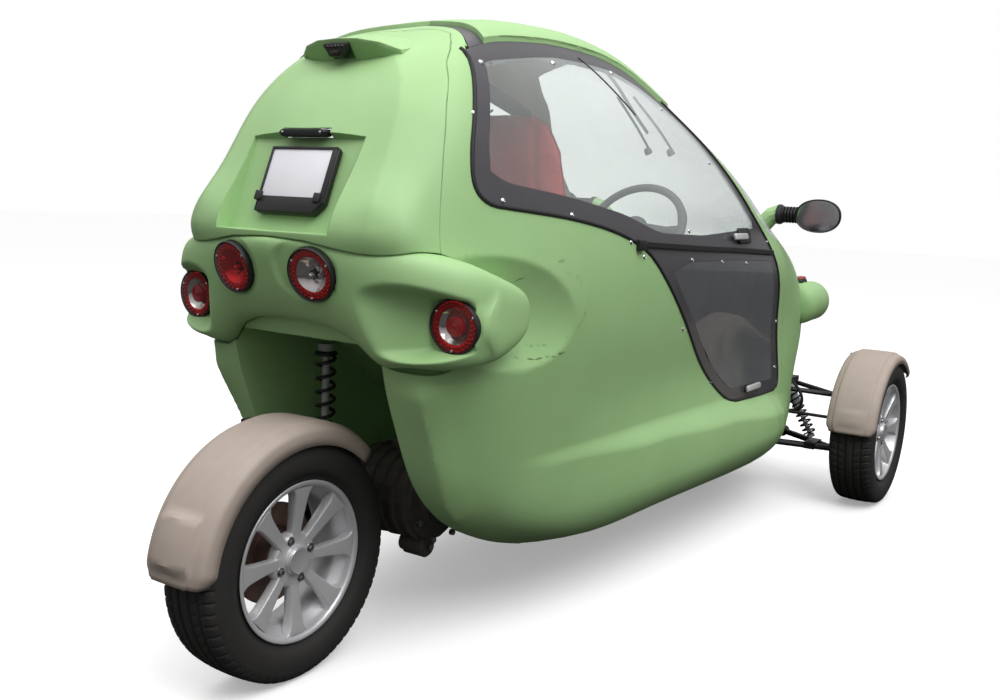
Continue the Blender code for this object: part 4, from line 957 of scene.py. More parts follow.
def makeTyre(name, centre, body):
    half = tyreSection()
    outside = half + [(-a, r) for a, r in half[-2::-1]]
    steps = tyre["pitches"] * 6
    lining = [(-0.060, 0.196), (-0.070, 0.225), (-0.058, 0.262), (0.058, 0.262),
              (0.070, 0.225), (0.060, 0.196)]
    rows = []
    for a, r in outside + lining:
        turn = 2 * np.pi * np.arange(steps) / steps
        phase = (np.arange(steps) / 6) % 1.0
        level = np.full(steps, r)
        if r > 0.266 and (a, r) not in lining:
            cut = 0.0
            for groove in tyre["grooves"]:
                cut = max(cut, 1 - max(0, abs(a - groove) - tyre["grooveHalf"]) / 0.0015)
            depth = tyre["grooveDepth"]
            level -= depth * min(max(cut, 0), 1)
            # Shoulder blocks are cut across, the middle ribs carry short sipes.
            shift = 0.35 if a > 0 else 0.0
            across = ((phase + shift + abs(a) * 6) % 1.0) < tyre["blockGap"]
            if abs(a) > 0.046:
                level -= np.where(across, depth * 0.8, 0) * (1 - max(cut, 0))
            elif abs(a) > 0.018:
                level -= np.where(across, depth * 0.45, 0) * (1 - max(cut, 0))
        bulge = 0.0
        for ringRadius, rise in ((0.2005, 0.0012), (0.2560, 0.0009)):
            bulge += rise * math.exp(-((r - ringRadius) / 0.0022) ** 2)
        shown = a + math.copysign(bulge, a) if abs(a) > 0.05 and r < 0.27 else a
        rows.append(np.stack([level * np.cos(turn), np.full(steps, shown),
                              level * np.sin(turn)], 1))
    rings = np.array(rows) + np.array(centre)
    count = len(rings)
    vertices = rings.reshape(-1, 3)
    faces = []
    for k in range(count):
        first = k * steps
        second = ((k + 1) % count) * steps
        for i in range(steps):
            j = (i + 1) % steps
            faces.append((first + i, first + j, second + j, second + i))
    made = meshPiece(name + "_rubber", vertices, faces, (tyreRubber,), body, (name,))


# Polished stainless cap and zinc-plated bolts.
polishedCap = mouldedFinish("polished aluminium cap", "dcdcde", "d2d2d5", (0.18, 0.26), 0.8,
                            0.000004, metallic=0.6, edge=0.001)
boltZinc = mouldedFinish("zinc plated bolt", "9a9a9c", "8a8a8c", (0.30, 0.42), 1.0, 0.00001,
                         metallic=1.0, edge=0.0008)

rim = {
    "spokes": 8,
    "spokeTurn": -2.0,          # degrees from the axle's forward line to the first spoke
    "boltCircle": 0.050,
    "segments": 96,
}


def makeRim(name, centre, face, body):
    # face is +1 or -1: the side that the spokes look to. Everything is drawn for +1.
    bm = bmesh.new()
    bead = tyre["bead"]
    barrel = ((0.0672, 0.1885), (0.0690, 0.1893), (0.0702, 0.1880), (0.0700, 0.1852),
              (0.0688, 0.1800), (0.0668, 0.1772), (0.0640, 0.1762), (0.0560, 0.1745),
              (0.0440, 0.1712), (0.0300, 0.1600), (0.0100, 0.1540), (-0.0300, 0.1560),
              (-0.0600, 0.1700), (-0.0660, 0.1730), (-0.0690, 0.1860), (-0.0672, 0.1885),
              (-0.0640, 0.1860), (-0.0620, bead - 0.0007), (-0.0440, bead - 0.0012),
              (-0.0300, 0.1625), (0.0100, 0.1600), (0.0320, 0.1660),
              (0.0440, bead - 0.0012), (0.0615, bead - 0.0007), (0.0640, 0.1860))
    turnedForm(bm, barrel, rim["segments"], True)
    for k in range(rim["spokes"]):
        turn = math.radians(rim["spokeTurn"]) + 2 * math.pi * k / rim["spokes"]
        out = Vector((math.cos(turn), 0, math.sin(turn)))
        side = Vector((-math.sin(turn), 0, math.cos(turn)))
        rings = []
        for reach, half, front, back in (
                (0.030, 0.0150, 0.0440, 0.020), (0.046, 0.0135, 0.0470, 0.022),
                (0.070, 0.0130, 0.0500, 0.026), (0.100, 0.0152, 0.0540, 0.029),
                (0.130, 0.0182, 0.0585, 0.032), (0.148, 0.0205, 0.0615, 0.033),
                (0.160, 0.0240, 0.0635, 0.032), (0.168, 0.0300, 0.0645, 0.031),
                (0.1735, 0.0375, 0.0650, 0.030)):
            ring = []
            for across, level in ((-0.86, 0), (-1.0, 0.35), (-1.0, 0.82), (-0.90, 0.97),
                                  (-0.55, 0.985), (0, 0.97), (0.55, 0.985), (0.90, 0.97),
                                  (1.0, 0.82), (1.0, 0.35), (0.86, 0)):
                depth = back + (front - back) * level
                ring.append(out * reach + side * half * across + Vector((0, depth, 0)))
            rings.append(ring)
        loftForm(bm, rings)
    # The hub with its raised boss, bolts in their wells and the polished cap.
    turnedForm(bm, ((0.020, 0.0), (0.020, 0.064), (0.040, 0.066), (0.0462, 0.062),
                    (0.0478, 0.054), (0.0470, 0.038), (0.0490, 0.0345), (0.0560, 0.0330),
                    (0.0575, 0.0320), (0.0575, 0.0)), 64, False)
    turnedForm(bm, ((0.0570, 0.0), (0.0570, 0.0300), (0.0600, 0.0305), (0.0612, 0.0290),
                    (0.0606, 0.0270), (0.0600, 0.0)), 64, False, None, 1)
    for k in range(4):
        turn = math.radians(rim["spokeTurn"] + 22 + 90 * k)
        spot = Matrix.Translation((rim["boltCircle"] * math.cos(turn), 0,
                                   rim["boltCircle"] * math.sin(turn)))
        turnedForm(bm, ((0.0440, 0.0), (0.0440, 0.0105), (0.0482, 0.0110), (0.0490, 0.0100),
                        (0.0480, 0.0088), (0.0480, 0.0)), 20, False, spot, 2)
        turnedForm(bm, ((0.0470, 0.0), (0.0470, 0.0072), (0.0540, 0.0070), (0.0550, 0.0060),
                        (0.0550, 0.0)), 6, False, spot, 2)
    # Brake disc and its bell behind the spokes.
    turnedForm(bm, ((-0.0300, 0.0), (-0.0300, 0.118), (-0.0290, 0.120), (-0.0225, 0.120),
                    (-0.0215, 0.118), (-0.0215, 0.066), (0.0130, 0.062), (0.0160, 0.058),
                    (0.0160, 0.0)), 64, False, None, 3)
    for vertex in bm.verts:
        vertex.co.y *= face
        vertex.co += Vector(centre)
    made = finishForm(name + "_casting", bm, (silverAlloy, polishedCap, boltZinc, rustyIron),
                      body, (name,), 40)


wheels = {
    "rear": ("rear_wheel", -1),
    "front_left": ("front_left_wheel", 1),
    "front_right": ("front_right_wheel", -1),
}
for name, (body, face) in wheels.items():
    low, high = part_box("tyre_" + name)
    centre = (low + high) / 2
    makeTyre("tyre_" + name, centre, body)
    makeRim("rim_" + name, centre, face, body)

mudguards = {
    # centre from, start and end in degrees, space over the tread
    "rear_mudguard": ("tyre_rear", 44, 176, 0.0355),
    "front_mudguard_left": ("tyre_front_left", 44, 174, 0.0250),
    "front_mudguard_right": ("tyre_front_right", 44, 174, 0.0250),
}
mudguardHalf = (
    # out from the middle, above the crown's lining
    (0.0900, -0.0100), (0.0899, -0.0060), (0.0893, 0.0), (0.0885, 0.0040), (0.0868, 0.0080),
    (0.0835, 0.0110), (0.0780, 0.0138), (0.0710, 0.0160), (0.0665, 0.0172),
    (0.0640, 0.0186), (0.0620, 0.0210), (0.0598, 0.0226), (0.0560, 0.0232), (0.0300, 0.0238),
    (0.0, 0.0240),
)


def smoothStep(value, low, high):
    t = min(max((value - low) / (high - low), 0), 1)
    return t * t * (3 - 2 * t)


def makeMudguard(name):
    tyreNode, start, end, space = mudguards[name]
    low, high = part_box(tyreNode)
    centre = (low + high) / 2
    steps = 72
    half = list(mudguardHalf)
    section = [(-a, r) for a, r in half] + half[-2::-1]
    bottom = -0.0110 - space
    rows = []
    for k in range(steps + 1):
        degrees = start + (end - start) * k / steps
        turn = math.radians(degrees)
        out = Vector((math.cos(turn), 0, math.sin(turn)))
        # Both ends are cut with rounded corners.
        fromEnd = min(degrees - start, end - degrees)
        narrow = 1 - 0.16 * (1 - smoothStep(fromEnd, 0, 7)) ** 2
        row = []
        for i, (a, r) in enumerate(section):
            level = r - 0.0190
            if i in (0, len(section) - 1):
                level = bottom
            if i in (1, len(section) - 2):
                level = bottom * 0.55
            level *= 1.0 if r > 0.01 else narrow
            if name == "rear_mudguard":
                inside = (smoothStep(degrees, 149, 152) * (1 - smoothStep(degrees, 169, 172))
                          * (1 - smoothStep(abs(a), 0.050, 0.060)))
                level += 0.017 * inside
            else:
                inside = (smoothStep(degrees, 157, 160) * (1 - smoothStep(degrees, 167, 170))
                          * (1 - smoothStep(abs(a), 0.046, 0.056)))
                level += 0.006 * inside
            row.append(centre + out * (tyre["radius"] + space + level)
                       + Vector((0, a * narrow, 0)))
        rows.append(row)
    across = len(rows[0])
    vertices = [p for row in rows for p in row]
    faces = []
    for k in range(steps):
        for i in range(across - 1):
            faces.append((k * across + i, k * across + i + 1, (k + 1) * across + i + 1,
                          (k + 1) * across + i))
    made = meshPiece(name + "_surface", vertices, faces, (taupePlastic,),
                     nodes[name]["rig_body"], (name,))
    skin = made.modifiers.new("skin", "SOLIDIFY")
    skin.thickness = 0.0035
    skin.offset = 0.0
    skin.use_even_offset = True
    return made


for name in mudguards:
    makeMudguard(name)


print("lamps, plate and door trims")


def tubeForm(bm, points, radius, sides=8, closed=False, material=0):
    points = [Vector(p) for p in points]
    count = len(points)
    rings = []
    lastUp = Vector((0, 0, 1))
    for k, point in enumerate(points):
        before = points[k - 1] if closed or k else point
        after = points[(k + 1) % count] if closed or k < count - 1 else point
        along = (after - before).normalized()
        across = along.cross(lastUp)
        if across.length < 0.1:
            across = along.orthogonal()
        across.normalize()
        lastUp = across.cross(along)
        ring = []
        for i in range(sides):
            turn = 2 * math.pi * i / sides
            ring.append(bm.verts.new(point + (across * math.cos(turn)
                                              + lastUp * math.sin(turn)) * radius))
        rings.append(ring)
    pairs = list(zip(rings, rings[1:] + rings[:1])) if closed else list(zip(rings, rings[1:]))
    for first, second in pairs:
        for i in range(sides):
            j = (i + 1) % sides
            bm.faces.new((first[i], first[j], second[j], second[i])).material_index = material
    if not closed:
        bm.faces.new(rings[0]).material_index = material
        bm.faces.new(rings[-1]).material_index = material


def plateForm(bm, matrix, outline, depth, edge=0.0, material=0):
    # An outline of (right, up) extruded along local Y by depth, its edges rounded.
    part = bmesh.new()
    front = [part.verts.new(matrix @ Vector((a, depth, b))) for a, b in outline]
    back = [part.verts.new(matrix @ Vector((a, 0, b))) for a, b in outline]
    part.faces.new(front)
    part.faces.new(back)
    for i in range(len(outline)):
        j = (i + 1) % len(outline)
        part.faces.new((front[i], front[j], back[j], back[i]))
    bmesh.ops.recalc_face_normals(part, faces=part.faces)
    if edge:
        bmesh.ops.bevel(part, geom=list(part.edges), offset=edge, segments=3, profile=0.5,
                        affect="EDGES", clamp_overlap=True)
    for face in part.faces:
        face.material_index = material
    spare = bpy.data.meshes.new("spare")
    part.to_mesh(spare)
    part.free()
    bm.from_mesh(spare)
    bpy.data.meshes.remove(spare)


def rectangle(left, right, low, high):
    return ((left, low), (right, low), (right, high), (left, high))


def axes(middle, right, out, up):
    # A matrix whose X is right, Y is out of the surface and Z is up.
    matrix = Matrix((right, out, up)).transposed().to_4x4()
    matrix.translation = middle
    return matrix


# Chrome screws and handles: bright, with the faint waves of plating.
chrome = mouldedFinish("chrome plated steel", "e2e2e4", "d8d8db", (0.08, 0.16), 4.0, 0.000004,
                       metallic=1.0, edge=0.0006)
# Red reflector: metallised facets under a red tint.
redMirror = mouldedFinish("red metallised reflector", "e02428", "b5141a", (0.10, 0.20), 5.0,
                          0.00004, metallic=0.75, edge=0.0003)
# Silver reflector: bright facets.
silverMirror = mouldedFinish("silver metallised reflector", "dcd8d6", "b9b4b2", (0.10, 0.22),
                             4.0, 0.00006, metallic=0.95, edge=0.0003)
# Thin clear cover over each lamp.
lampCover = clearSheet("clear acrylic lamp cover", "fbfbfb", "e8e8e8", 0.02)
# Number plate sheet, blank: white retroreflective film.
plateWhite = mouldedFinish("white retroreflective film", "ecebf0", "e4e3e8", (0.35, 0.45), 0.8,
                           0.00002, edge=0.001)
# Amber and smoked bits inside the small lamps.
darkLens = mouldedFinish("dark red brake lamp lens", "2a0c0e", "1c0809", (0.10, 0.18), 3.0,
                         0.00003, edge=0.0006)

lampSizes = {
    "rim": 0.0605,
    "ring": 0.0570,          # outside of the ring of small lamps
    "bowl": 0.0395,          # outside of the reflector bowl
    "beads": 28,             # small lamps round the ring
    "facets": 26,
    "screwRadius": 0.0530,
}


def makeTailLamp(name, kind):
    middle, facing, inward, up = lampFrame(name)
    spot = axes(middle, inward, facing, up)
    bm = bmesh.new()
    rimRadius = lampSizes["rim"]
    ring = lampSizes["ring"]
    bowl = lampSizes["bowl"]
    # 0 rim, 1 red, 2 silver, 3 screws, 4 cover, 5 centre disc
    turnedForm(bm, ((-0.030, 0.0), (-0.030, rimRadius - 0.003), (0.001, rimRadius),
                    (0.0040, rimRadius - 0.0008), (0.0050, rimRadius - 0.0020),
                    (0.0040, ring + 0.0004), (0.0010, ring), (-0.028, ring - 0.004),
                    (-0.028, 0.0)), 72, False, spot, 0)
    turnedForm(bm, ((-0.004, ring), (-0.0010, ring - 0.0004), (0.0, ring - 0.0030),
                    (0.0, bowl + 0.0030), (-0.0012, bowl + 0.0004), (-0.006, bowl)),
               72, False, spot, 1)
    for row, radius in enumerate((0.0515, 0.0450)):
        for k in range(lampSizes["beads"]):
            turn = 2 * math.pi * (k + 0.5 * row) / lampSizes["beads"]
            bead = spot @ Matrix.Translation((radius * math.cos(turn), 0.0,
                                              radius * math.sin(turn)))
            turnedForm(bm, ((-0.0004, 0.0030), (0.0010, 0.0027), (0.0020, 0.0018),
                            (0.0026, 0.0)), 8, False, bead, 1)
    # The bowl's facets step in and out, so that each one catches another light.
    count = lampSizes["facets"]
    rows = []
    depths = ((bowl, -0.002), (0.0335, -0.008), (0.0275, -0.0125), (0.0210, -0.0155),
              (0.0145, -0.0175), (0.0080, -0.0185))
    for level, (radius, depth) in enumerate(depths):
        row = []
        for k in range(count):
            turn = 2 * math.pi * (k + 0.5 * (level % 2)) / count
            wave = 0.0012 * math.sin(5.3 * k + 2.1 * level)
            row.append(bm.verts.new(spot @ Vector((radius * math.cos(turn), depth + wave,
                                                   radius * math.sin(turn)))))
        rows.append(row)
    bowlFinish = 1 if kind == "red" else 2
    facets = []
    for level, (first, second) in enumerate(zip(rows, rows[1:])):
        for k in range(count):
            j = (k + 1) % count
            if level % 2 == 0:
                facets += [(first[k], first[j], second[k]), (first[j], second[j], second[k])]
            else:
                facets += [(first[k], first[j], second[j]), (first[k], second[j], second[k])]
    for facet in facets:
        bm.faces.new(facet).material_index = bowlFinish
    if kind == "disc":
        turnedForm(bm, ((-0.018, 0.0225), (-0.0035, 0.0222), (-0.0018, 0.0212),
                        (-0.0010, 0.0190), (-0.0022, 0.0172), (-0.0008, 0.0150),
                        (-0.0020, 0.0128), (-0.0006, 0.0105), (-0.0016, 0.0080),
                        (-0.0002, 0.0055), (-0.0002, 0.0)), 48, False, spot, 5)
    else:
        bulb = spot @ Matrix.Translation((0.004, 0.0, -0.004))
        turnedForm(bm, ((-0.0190, 0.0100), (-0.0165, 0.0102), (-0.0160, 0.0085),
                        (-0.0220, 0.0080), (-0.0220, 0.0)), 28, False, bulb, 0)
        turnedForm(bm, ((-0.0200, 0.0058), (-0.0100, 0.0066), (-0.0040, 0.0060),
                        (-0.0015, 0.0036), (-0.0010, 0.0)), 24, False, bulb,
                   1 if kind == "red" else 2)
    for k in range(3):
        turn = math.radians(35 + 120 * k)
        screw = spot @ Matrix.Translation((lampSizes["screwRadius"] * math.cos(turn), 0.0,
                                           lampSizes["screwRadius"] * math.sin(turn)))
        turnedForm(bm, ((-0.001, 0.0034), (0.0026, 0.0032), (0.0036, 0.0022),
                        (0.0038, 0.0012), (0.0024, 0.0010), (0.0024, 0.0)), 12, False, screw, 3)
    turnedForm(bm, ((0.0034, ring + 0.0002), (0.0052, ring * 0.94), (0.0070, ring * 0.80),
                    (0.0088, ring * 0.55), (0.0096, ring * 0.28), (0.0098, 0.0)),
               48, False, spot, 4)
    made = finishForm(name + "_unit", bm, (blackPlastic, redMirror, silverMirror, chrome,
                                           lampCover, redLens), "car_body", (name,), 30)


for name, kind in (("tail_lamp_inner_left", "red"), ("tail_lamp_inner_right", "clear"),
                   ("tail_lamp_outer_left", "disc"), ("tail_lamp_outer_right", "disc")):
    makeTailLamp(name, kind)

plateSizes = {
    "middle": (0.0300, -0.013, 1.1450),
    "lean": 21.5,                          # degrees back from upright
    "sheet": (-0.0920, 0.0880, -0.0440, 0.0700),
}


def makePlate():
    lean = math.radians(plateSizes["lean"])
    out = Vector((-math.cos(lean), 0, math.sin(lean)))
    up = Vector((math.sin(lean), 0, math.cos(lean)))
    spot = axes(place(*plateSizes["middle"]), Vector((0, -1, 0)), out, up)
    bm = bmesh.new()
    plateForm(bm, spot, ((-0.100, -0.076), (-0.092, -0.083), (0.078, -0.083), (0.103, -0.056),
                         (0.103, 0.070), (0.096, 0.077), (-0.094, 0.077), (-0.100, 0.071)),
              0.014, 0.0022, 0)
    left, right, low, high = plateSizes["sheet"]
    plateForm(bm, spot @ Matrix.Translation((0, 0.0130, 0)), rectangle(left, right, low, high),
              0.0022, 0.0006, 1)
    # Raised frame round the sheet, with a wider blank band below, and two clips.
    for outline in (rectangle(-0.098, 0.101, 0.0690, 0.0755),
                    rectangle(-0.098, -0.0912, -0.078, 0.0700),
                    rectangle(0.0875, 0.101, -0.055, 0.0700),
                    ((-0.098, -0.0805), (0.0775, -0.0805), (0.0985, -0.0570),
                     (0.0985, -0.0440), (-0.098, -0.0440))):
        plateForm(bm, spot @ Matrix.Translation((0, 0.0120, 0)), outline, 0.0062, 0.0016, 0)
    for side, height in ((-0.095, -0.047), (0.083, -0.047)):
        plateForm(bm, spot @ Matrix.Translation((side, 0.0150, height)),
                  rectangle(-0.009, 0.009, -0.009, 0.013), 0.0085, 0.0020, 0)
    plateForm(bm, spot @ Matrix.Translation((-0.020, 0.0148, 0.0730)),
              rectangle(-0.014, 0.014, -0.0035, 0.0030), 0.0040, 0.0010, 0)
    made = finishForm("plate_holder_frame", bm, (blackPlastic, plateWhite), "car_body",
                      ("plate_holder",), 35)
    # Lamp housing under the upper edge of the recess.
    low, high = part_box("plate_lamp")
    middle = (low + high) / 2
    half = (high.y - low.y) / 2 * 0.94
    bm = bmesh.new()
    spot = axes(Vector((high.x - 0.010, middle.y, middle.z)), Vector((0, -1, 0)),
                Vector((-1, 0, 0)), Vector((0, 0, 1)))
    depth = high.x - low.x - 0.010
    plateForm(bm, spot, ((-half, 0.0025), (-half * 0.86, 0.0085), (half * 0.86, 0.0085),
                         (half, 0.0025), (half * 0.92, -0.0065), (half * 0.78, -0.0090),
                         (-half * 0.78, -0.0090), (-half * 0.92, -0.0065)),
              depth, 0.0020, 0)
    for side in (-0.84, 0.84):
        screw = spot @ Matrix.Translation((side * half, depth - 0.0006, 0.001))
        turnedForm(bm, ((0.0, 0.0034), (0.0015, 0.0030), (0.0020, 0.0018), (0.0020, 0.0)), 12,
                   False, screw, 1)
    made = finishForm("plate_lamp_housing", bm, (blackPlastic, chrome), "car_body",
                      ("plate_lamp",), 35)


makePlate()


def makeBrakeLamp():
    low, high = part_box("high_brake_lamp")
    middle = (low + high) / 2
    spot = axes(Vector((low.x + 0.030, middle.y, middle.z)), Vector((0, -1, 0)),
                Vector((-1, 0, 0)), Vector((0, 0, 1)))
    top = high.z - middle.z
    bm = bmesh.new()
    plateForm(bm, spot, ((-0.036, top), (0.036, top), (0.036, top - 0.008),
                         (0.024, top - 0.020), (0.016, -top), (-0.016, -top),
                         (-0.024, top - 0.020), (-0.036, top - 0.008)), 0.026, 0.0022, 0)
    for k in range(5):
        bead = spot @ Matrix.Translation((-0.022 + 0.011 * k, 0.0255, top - 0.0085))
        turnedForm(bm, ((0.0, 0.0042), (0.0016, 0.0036), (0.0026, 0.0022), (0.0029, 0.0)), 12,
                   False, bead, 1)
    plateForm(bm, spot @ Matrix.Translation((0, 0.0250, -0.006)),
              rectangle(-0.013, 0.013, -0.0060, 0.0030), 0.0040, 0.0012, 1)
    made = finishForm("high_brake_lamp_unit", bm, (blackPlastic, darkLens), "car_body",
                      ("high_brake_lamp",), 35)


makeBrakeLamp()

doorTrim = {
    "outline": (
        (0.300, 1.460), (0.300, 1.440), (0.245, 1.330), (0.205, 1.230), (0.195, 1.150),
        (0.230, 1.112), (0.300, 1.105), (0.530, 1.087), (0.740, 1.055), (0.900, 1.010),
        (1.000, 0.950), (1.180, 0.810), (1.350, 0.680), (1.520, 0.560), (1.630, 0.495),
        (1.720, 0.470), (2.140, 0.455), (2.185, 0.490), (2.160, 0.620), (2.100, 0.800),
        (2.020, 0.960), (1.950, 1.050), (1.820, 1.140), (1.600, 1.290), (1.400, 1.420),
        (1.300, 1.470),
    ),
    "sealRadius": 0.0055,
    "screws": (
        (0.324, 1.431), (0.617, 1.466), (0.936, 1.480), (1.235, 1.410), (1.497, 1.266),
        (0.235, 1.309), (0.278, 1.121), (0.530, 1.094), (0.814, 1.027), (0.890, 0.987),
        (1.205, 1.055), (1.220, 0.970), (1.469, 0.957), (1.697, 0.947), (1.204, 0.764),
        (1.514, 0.562), (1.974, 1.013), (2.120, 0.717), (2.145, 0.541),
    ),
    "screwRadius": 0.0062,
    "rail": ((0.860, 1.022), (1.100, 1.012), (1.285, 1.004), (1.600, 0.993), (1.990, 0.976)),
    "joint": ((0.774, 1.499), (0.829, 1.464), (0.963, 1.369)),
}


def onHull(x, z, sign, lift=0.0):
    # The hull's surface beside the place (x, z), and the way it faces there.
    start = place(x, sign * 2.0, z)
    hit, _, _, _ = outerSkin.fine.ray_cast(start, Vector((0, -sign, 0)))
    if hit is None:
        return None
    spot, normal = outerSkin.smooth(hit)
    return spot + normal * lift, normal


def followHull(line, sign, step, lift):
    points = []
    for (x1, z1), (x2, z2) in zip(line, line[1:]):
        count = max(1, round(math.hypot(x2 - x1, z2 - z1) / step))
        for k in range(count):
            found = onHull(x1 + (x2 - x1) * k / count, z1 + (z2 - z1) * k / count, sign, lift)
            if found:
                points.append(found[0])
    found = onHull(*line[-1], sign, lift)
    if found:
        points.append(found[0])
    return points


def softCorners(line, rounds=2):
    for _ in range(rounds):
        cut = [line[0]]
        for a, b in zip(line, line[1:]):
            cut.append((a[0] * 0.75 + b[0] * 0.25, a[1] * 0.75 + b[1] * 0.25))
            cut.append((a[0] * 0.25 + b[0] * 0.75, a[1] * 0.25 + b[1] * 0.75))
        line = cut + [line[-1]]
    return line


def makeDoorTrim(side, sign):
    body = nodes["door_" + side]["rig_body"]
    bm = bmesh.new()
    outline = softCorners(doorTrim["outline"])
    tubeForm(bm, followHull(outline, sign, 0.03, -0.0005), doorTrim["sealRadius"], 8)
    made = finishForm("door_seal_" + side, bm, (rubberSeal,), body)
    bm = bmesh.new()
    for x, z in doorTrim["screws"]:
        found = onHull(x, z, sign)
        if not found:
            continue
        spot, normal = found
        right = Vector((0, 0, 1)).cross(normal).normalized()
        head = axes(spot, right, normal, normal.cross(right) * -1)
        radius = doorTrim["screwRadius"]
        turnedForm(bm, ((-0.001, radius * 1.15), (0.0008, radius * 1.12), (0.0014, radius),
                        (0.0030, radius * 0.82), (0.0040, radius * 0.45), (0.0032, 0.0024),
                        (0.0026, 0.0)), 16, False, head, 0)
    made = finishForm("door_screws_" + side, bm, (chrome,), body)
    # The rail under the upper pane, with its end block, and the joint of the two sheets.
    bm = bmesh.new()
    rings = []
    for k, point in enumerate(followHull(doorTrim["rail"], sign, 0.06, 0.0)):
        half = 0.0095
        deep = 0.011
        rings.append([point + Vector((0, sign * a, b)) for a, b in (
            (-0.004, -half), (deep - 0.003, -half), (deep, -half + 0.003),
            (deep, half - 0.003), (deep - 0.003, half), (-0.004, half))])
    loftForm(bm, rings, 0)
    first = onHull(0.862, 1.020, sign)[0]
    plateForm(bm, axes(first, Vector((1, 0, 0)), Vector((0, sign, 0)), Vector((0, 0, 1))),
              rectangle(-0.020, 0.016, -0.016, 0.014), 0.016, 0.003, 0)
    # Both handles: a black housing with a silver grip plate.
    for (x, z), half, gripShift in (((1.690, 1.036), 0.062, -0.055), ((1.880, 0.500), 0.060, 0)):
        spot, normal = onHull(x, z, sign)
        before = onHull(x - 0.05, z, sign)[0]
        right = (spot - before).normalized()
        up = right.cross(normal) * (1 if right.cross(normal).z > 0 else -1)
        frameHere = axes(spot, right, normal, up)
        tall = 0.026 if gripShift else 0.013
        plateForm(bm, frameHere, ((-half, -tall * 0.7), (-half * 0.85, -tall), (half, -tall),
                                  (half * 1.06, 0.0), (half * 0.92, tall),
                                  (-half * 0.7, tall)), 0.011, 0.003, 0)
        grip = frameHere @ Matrix.Translation((gripShift, 0.010, -0.004 if gripShift else 0.0))
        plateForm(bm, grip, ((-0.066, -0.0105), (0.060, -0.0105), (0.066, -0.006),
                             (0.066, 0.007), (0.058, 0.0105), (-0.066, 0.0105)), 0.010,
                  0.003, 1)
    made = finishForm("door_rail_" + side, bm, (blackPlastic, silverAlloy), body, (), 35)
    bm = bmesh.new()
    tubeForm(bm, followHull(doorTrim["joint"], sign, 0.03, 0.0), 0.0022, 6)
    made = finishForm("door_joint_" + side, bm, (rubberSeal,), body)


makeDoorTrim("left", 1)
makeDoorTrim("right", -1)


print("interior")


def wovenCloth(name, light, dark, pitch, height):
    # Plain weave: warp and weft ride over each other, their shade shifting in soft clouds.
    made, tree, shader, where = startMaterial(name, {
        "IOR": 1.5, "Sheen Weight": 0.35, "Sheen Roughness": 0.4, "Roughness": 0.88,
    })
    threads = []
    for direction in ("X", "Z"):
        threads.append(addNode(tree, "ShaderNodeTexWave", {
            "wave_type": "BANDS", "bands_direction": direction, "wave_profile": "SIN",
            "Scale": 0.314 * perMetre(pitch) * 0.5, "Distortion": 0.6, "Detail": 1.0,
        }, {"Vector": where}))
    across = addNode(tree, "ShaderNodeTexWave", {
        "wave_type": "BANDS", "bands_direction": "Y", "wave_profile": "SIN",
        "Scale": 0.314 * perMetre(pitch) * 0.5, "Distortion": 0.6, "Detail": 1.0,
    }, {"Vector": where})
    warp = addNode(tree, "ShaderNodeMath", {"operation": "MAXIMUM"},
                   {0: threads[0].outputs["Fac"], 1: threads[1].outputs["Fac"]})
    cross = addNode(tree, "ShaderNodeMath", {"operation": "MULTIPLY"},
                    {0: warp.outputs[0], 1: across.outputs["Fac"]})
    cloud = addNode(tree, "ShaderNodeTexNoise", {"Scale": perMetre(60), "Detail": 6.0},
                    {"Vector": where})
    shade = addNode(tree, "ShaderNodeMath", {"operation": "MULTIPLY_ADD", 1: 0.5},
                    {0: cross.outputs[0], 2: cloud.outputs["Fac"]})
    tree.links.new(mixedColour(tree, shade.outputs[0], dark, light), shader.inputs["Base Color"])
    bump = addNode(tree, "ShaderNodeBump", {"Strength": 1.0, "Distance": height},
                   {"Height": cross.outputs[0]})
    tree.links.new(bump.outputs["Normal"], shader.inputs["Normal"])
    return made


# Red polyester seat cloth: a visible plain weave with a soft bloom at grazing angles.
# The threads are drawn at 3 mm, coarser than life, so that they hold in the picture.
seatCloth = wovenCloth("red woven polyester", "d8383f", "b3262c", 3.0, 0.0005)
# Red cotton piping along the pads' seams, a little darker than the cloth.
pipingCloth = wovenCloth("red piping cord", "a82127", "8c171c", 2.5, 0.0004)

seatPads = {
    # node, spine from one end to the other as (x, z, half width, half thickness)
    "front_seat_back_pad": ("front_seat", (
        (1.0300, 0.600, 0.170, 0.034), (1.0250, 0.650, 0.182, 0.044),
        (0.9850, 0.850, 0.186, 0.042), (0.9250, 1.110, 0.184, 0.036),
        (0.8880, 1.260, 0.172, 0.031), (0.8680, 1.335, 0.140, 0.025),
        (0.8600, 1.362, 0.100, 0.018))),
    "front_seat_cushion": ("front_seat", (
        (0.9950, 0.540, 0.176, 0.040), (1.0300, 0.540, 0.192, 0.054),
        (1.2200, 0.538, 0.196, 0.056), (1.4100, 0.533, 0.194, 0.050),
        (1.4550, 0.530, 0.178, 0.036))),
    "rear_seat_back_pad": ("rear_seat", (
        (0.3620, 0.925, 0.150, 0.030), (0.3500, 0.960, 0.162, 0.038),
        (0.3180, 1.080, 0.162, 0.034), (0.2900, 1.180, 0.150, 0.028),
        (0.2830, 1.215, 0.118, 0.019))),
    "rear_seat_cushion": ("rear_seat", (
        (0.3520, 0.845, 0.146, 0.040), (0.3900, 0.832, 0.160, 0.056),
        (0.5200, 0.795, 0.164, 0.078), (0.6400, 0.755, 0.160, 0.084),
        (0.6880, 0.742, 0.146, 0.062))),
}
padSizes = {
    "voxel": 0.006,
    "pressure": 4.0,
    "frames": 12,
    "cap": 0.022,
    "channelDepth": 0.005,
    "channelHalf": 0.009,
}


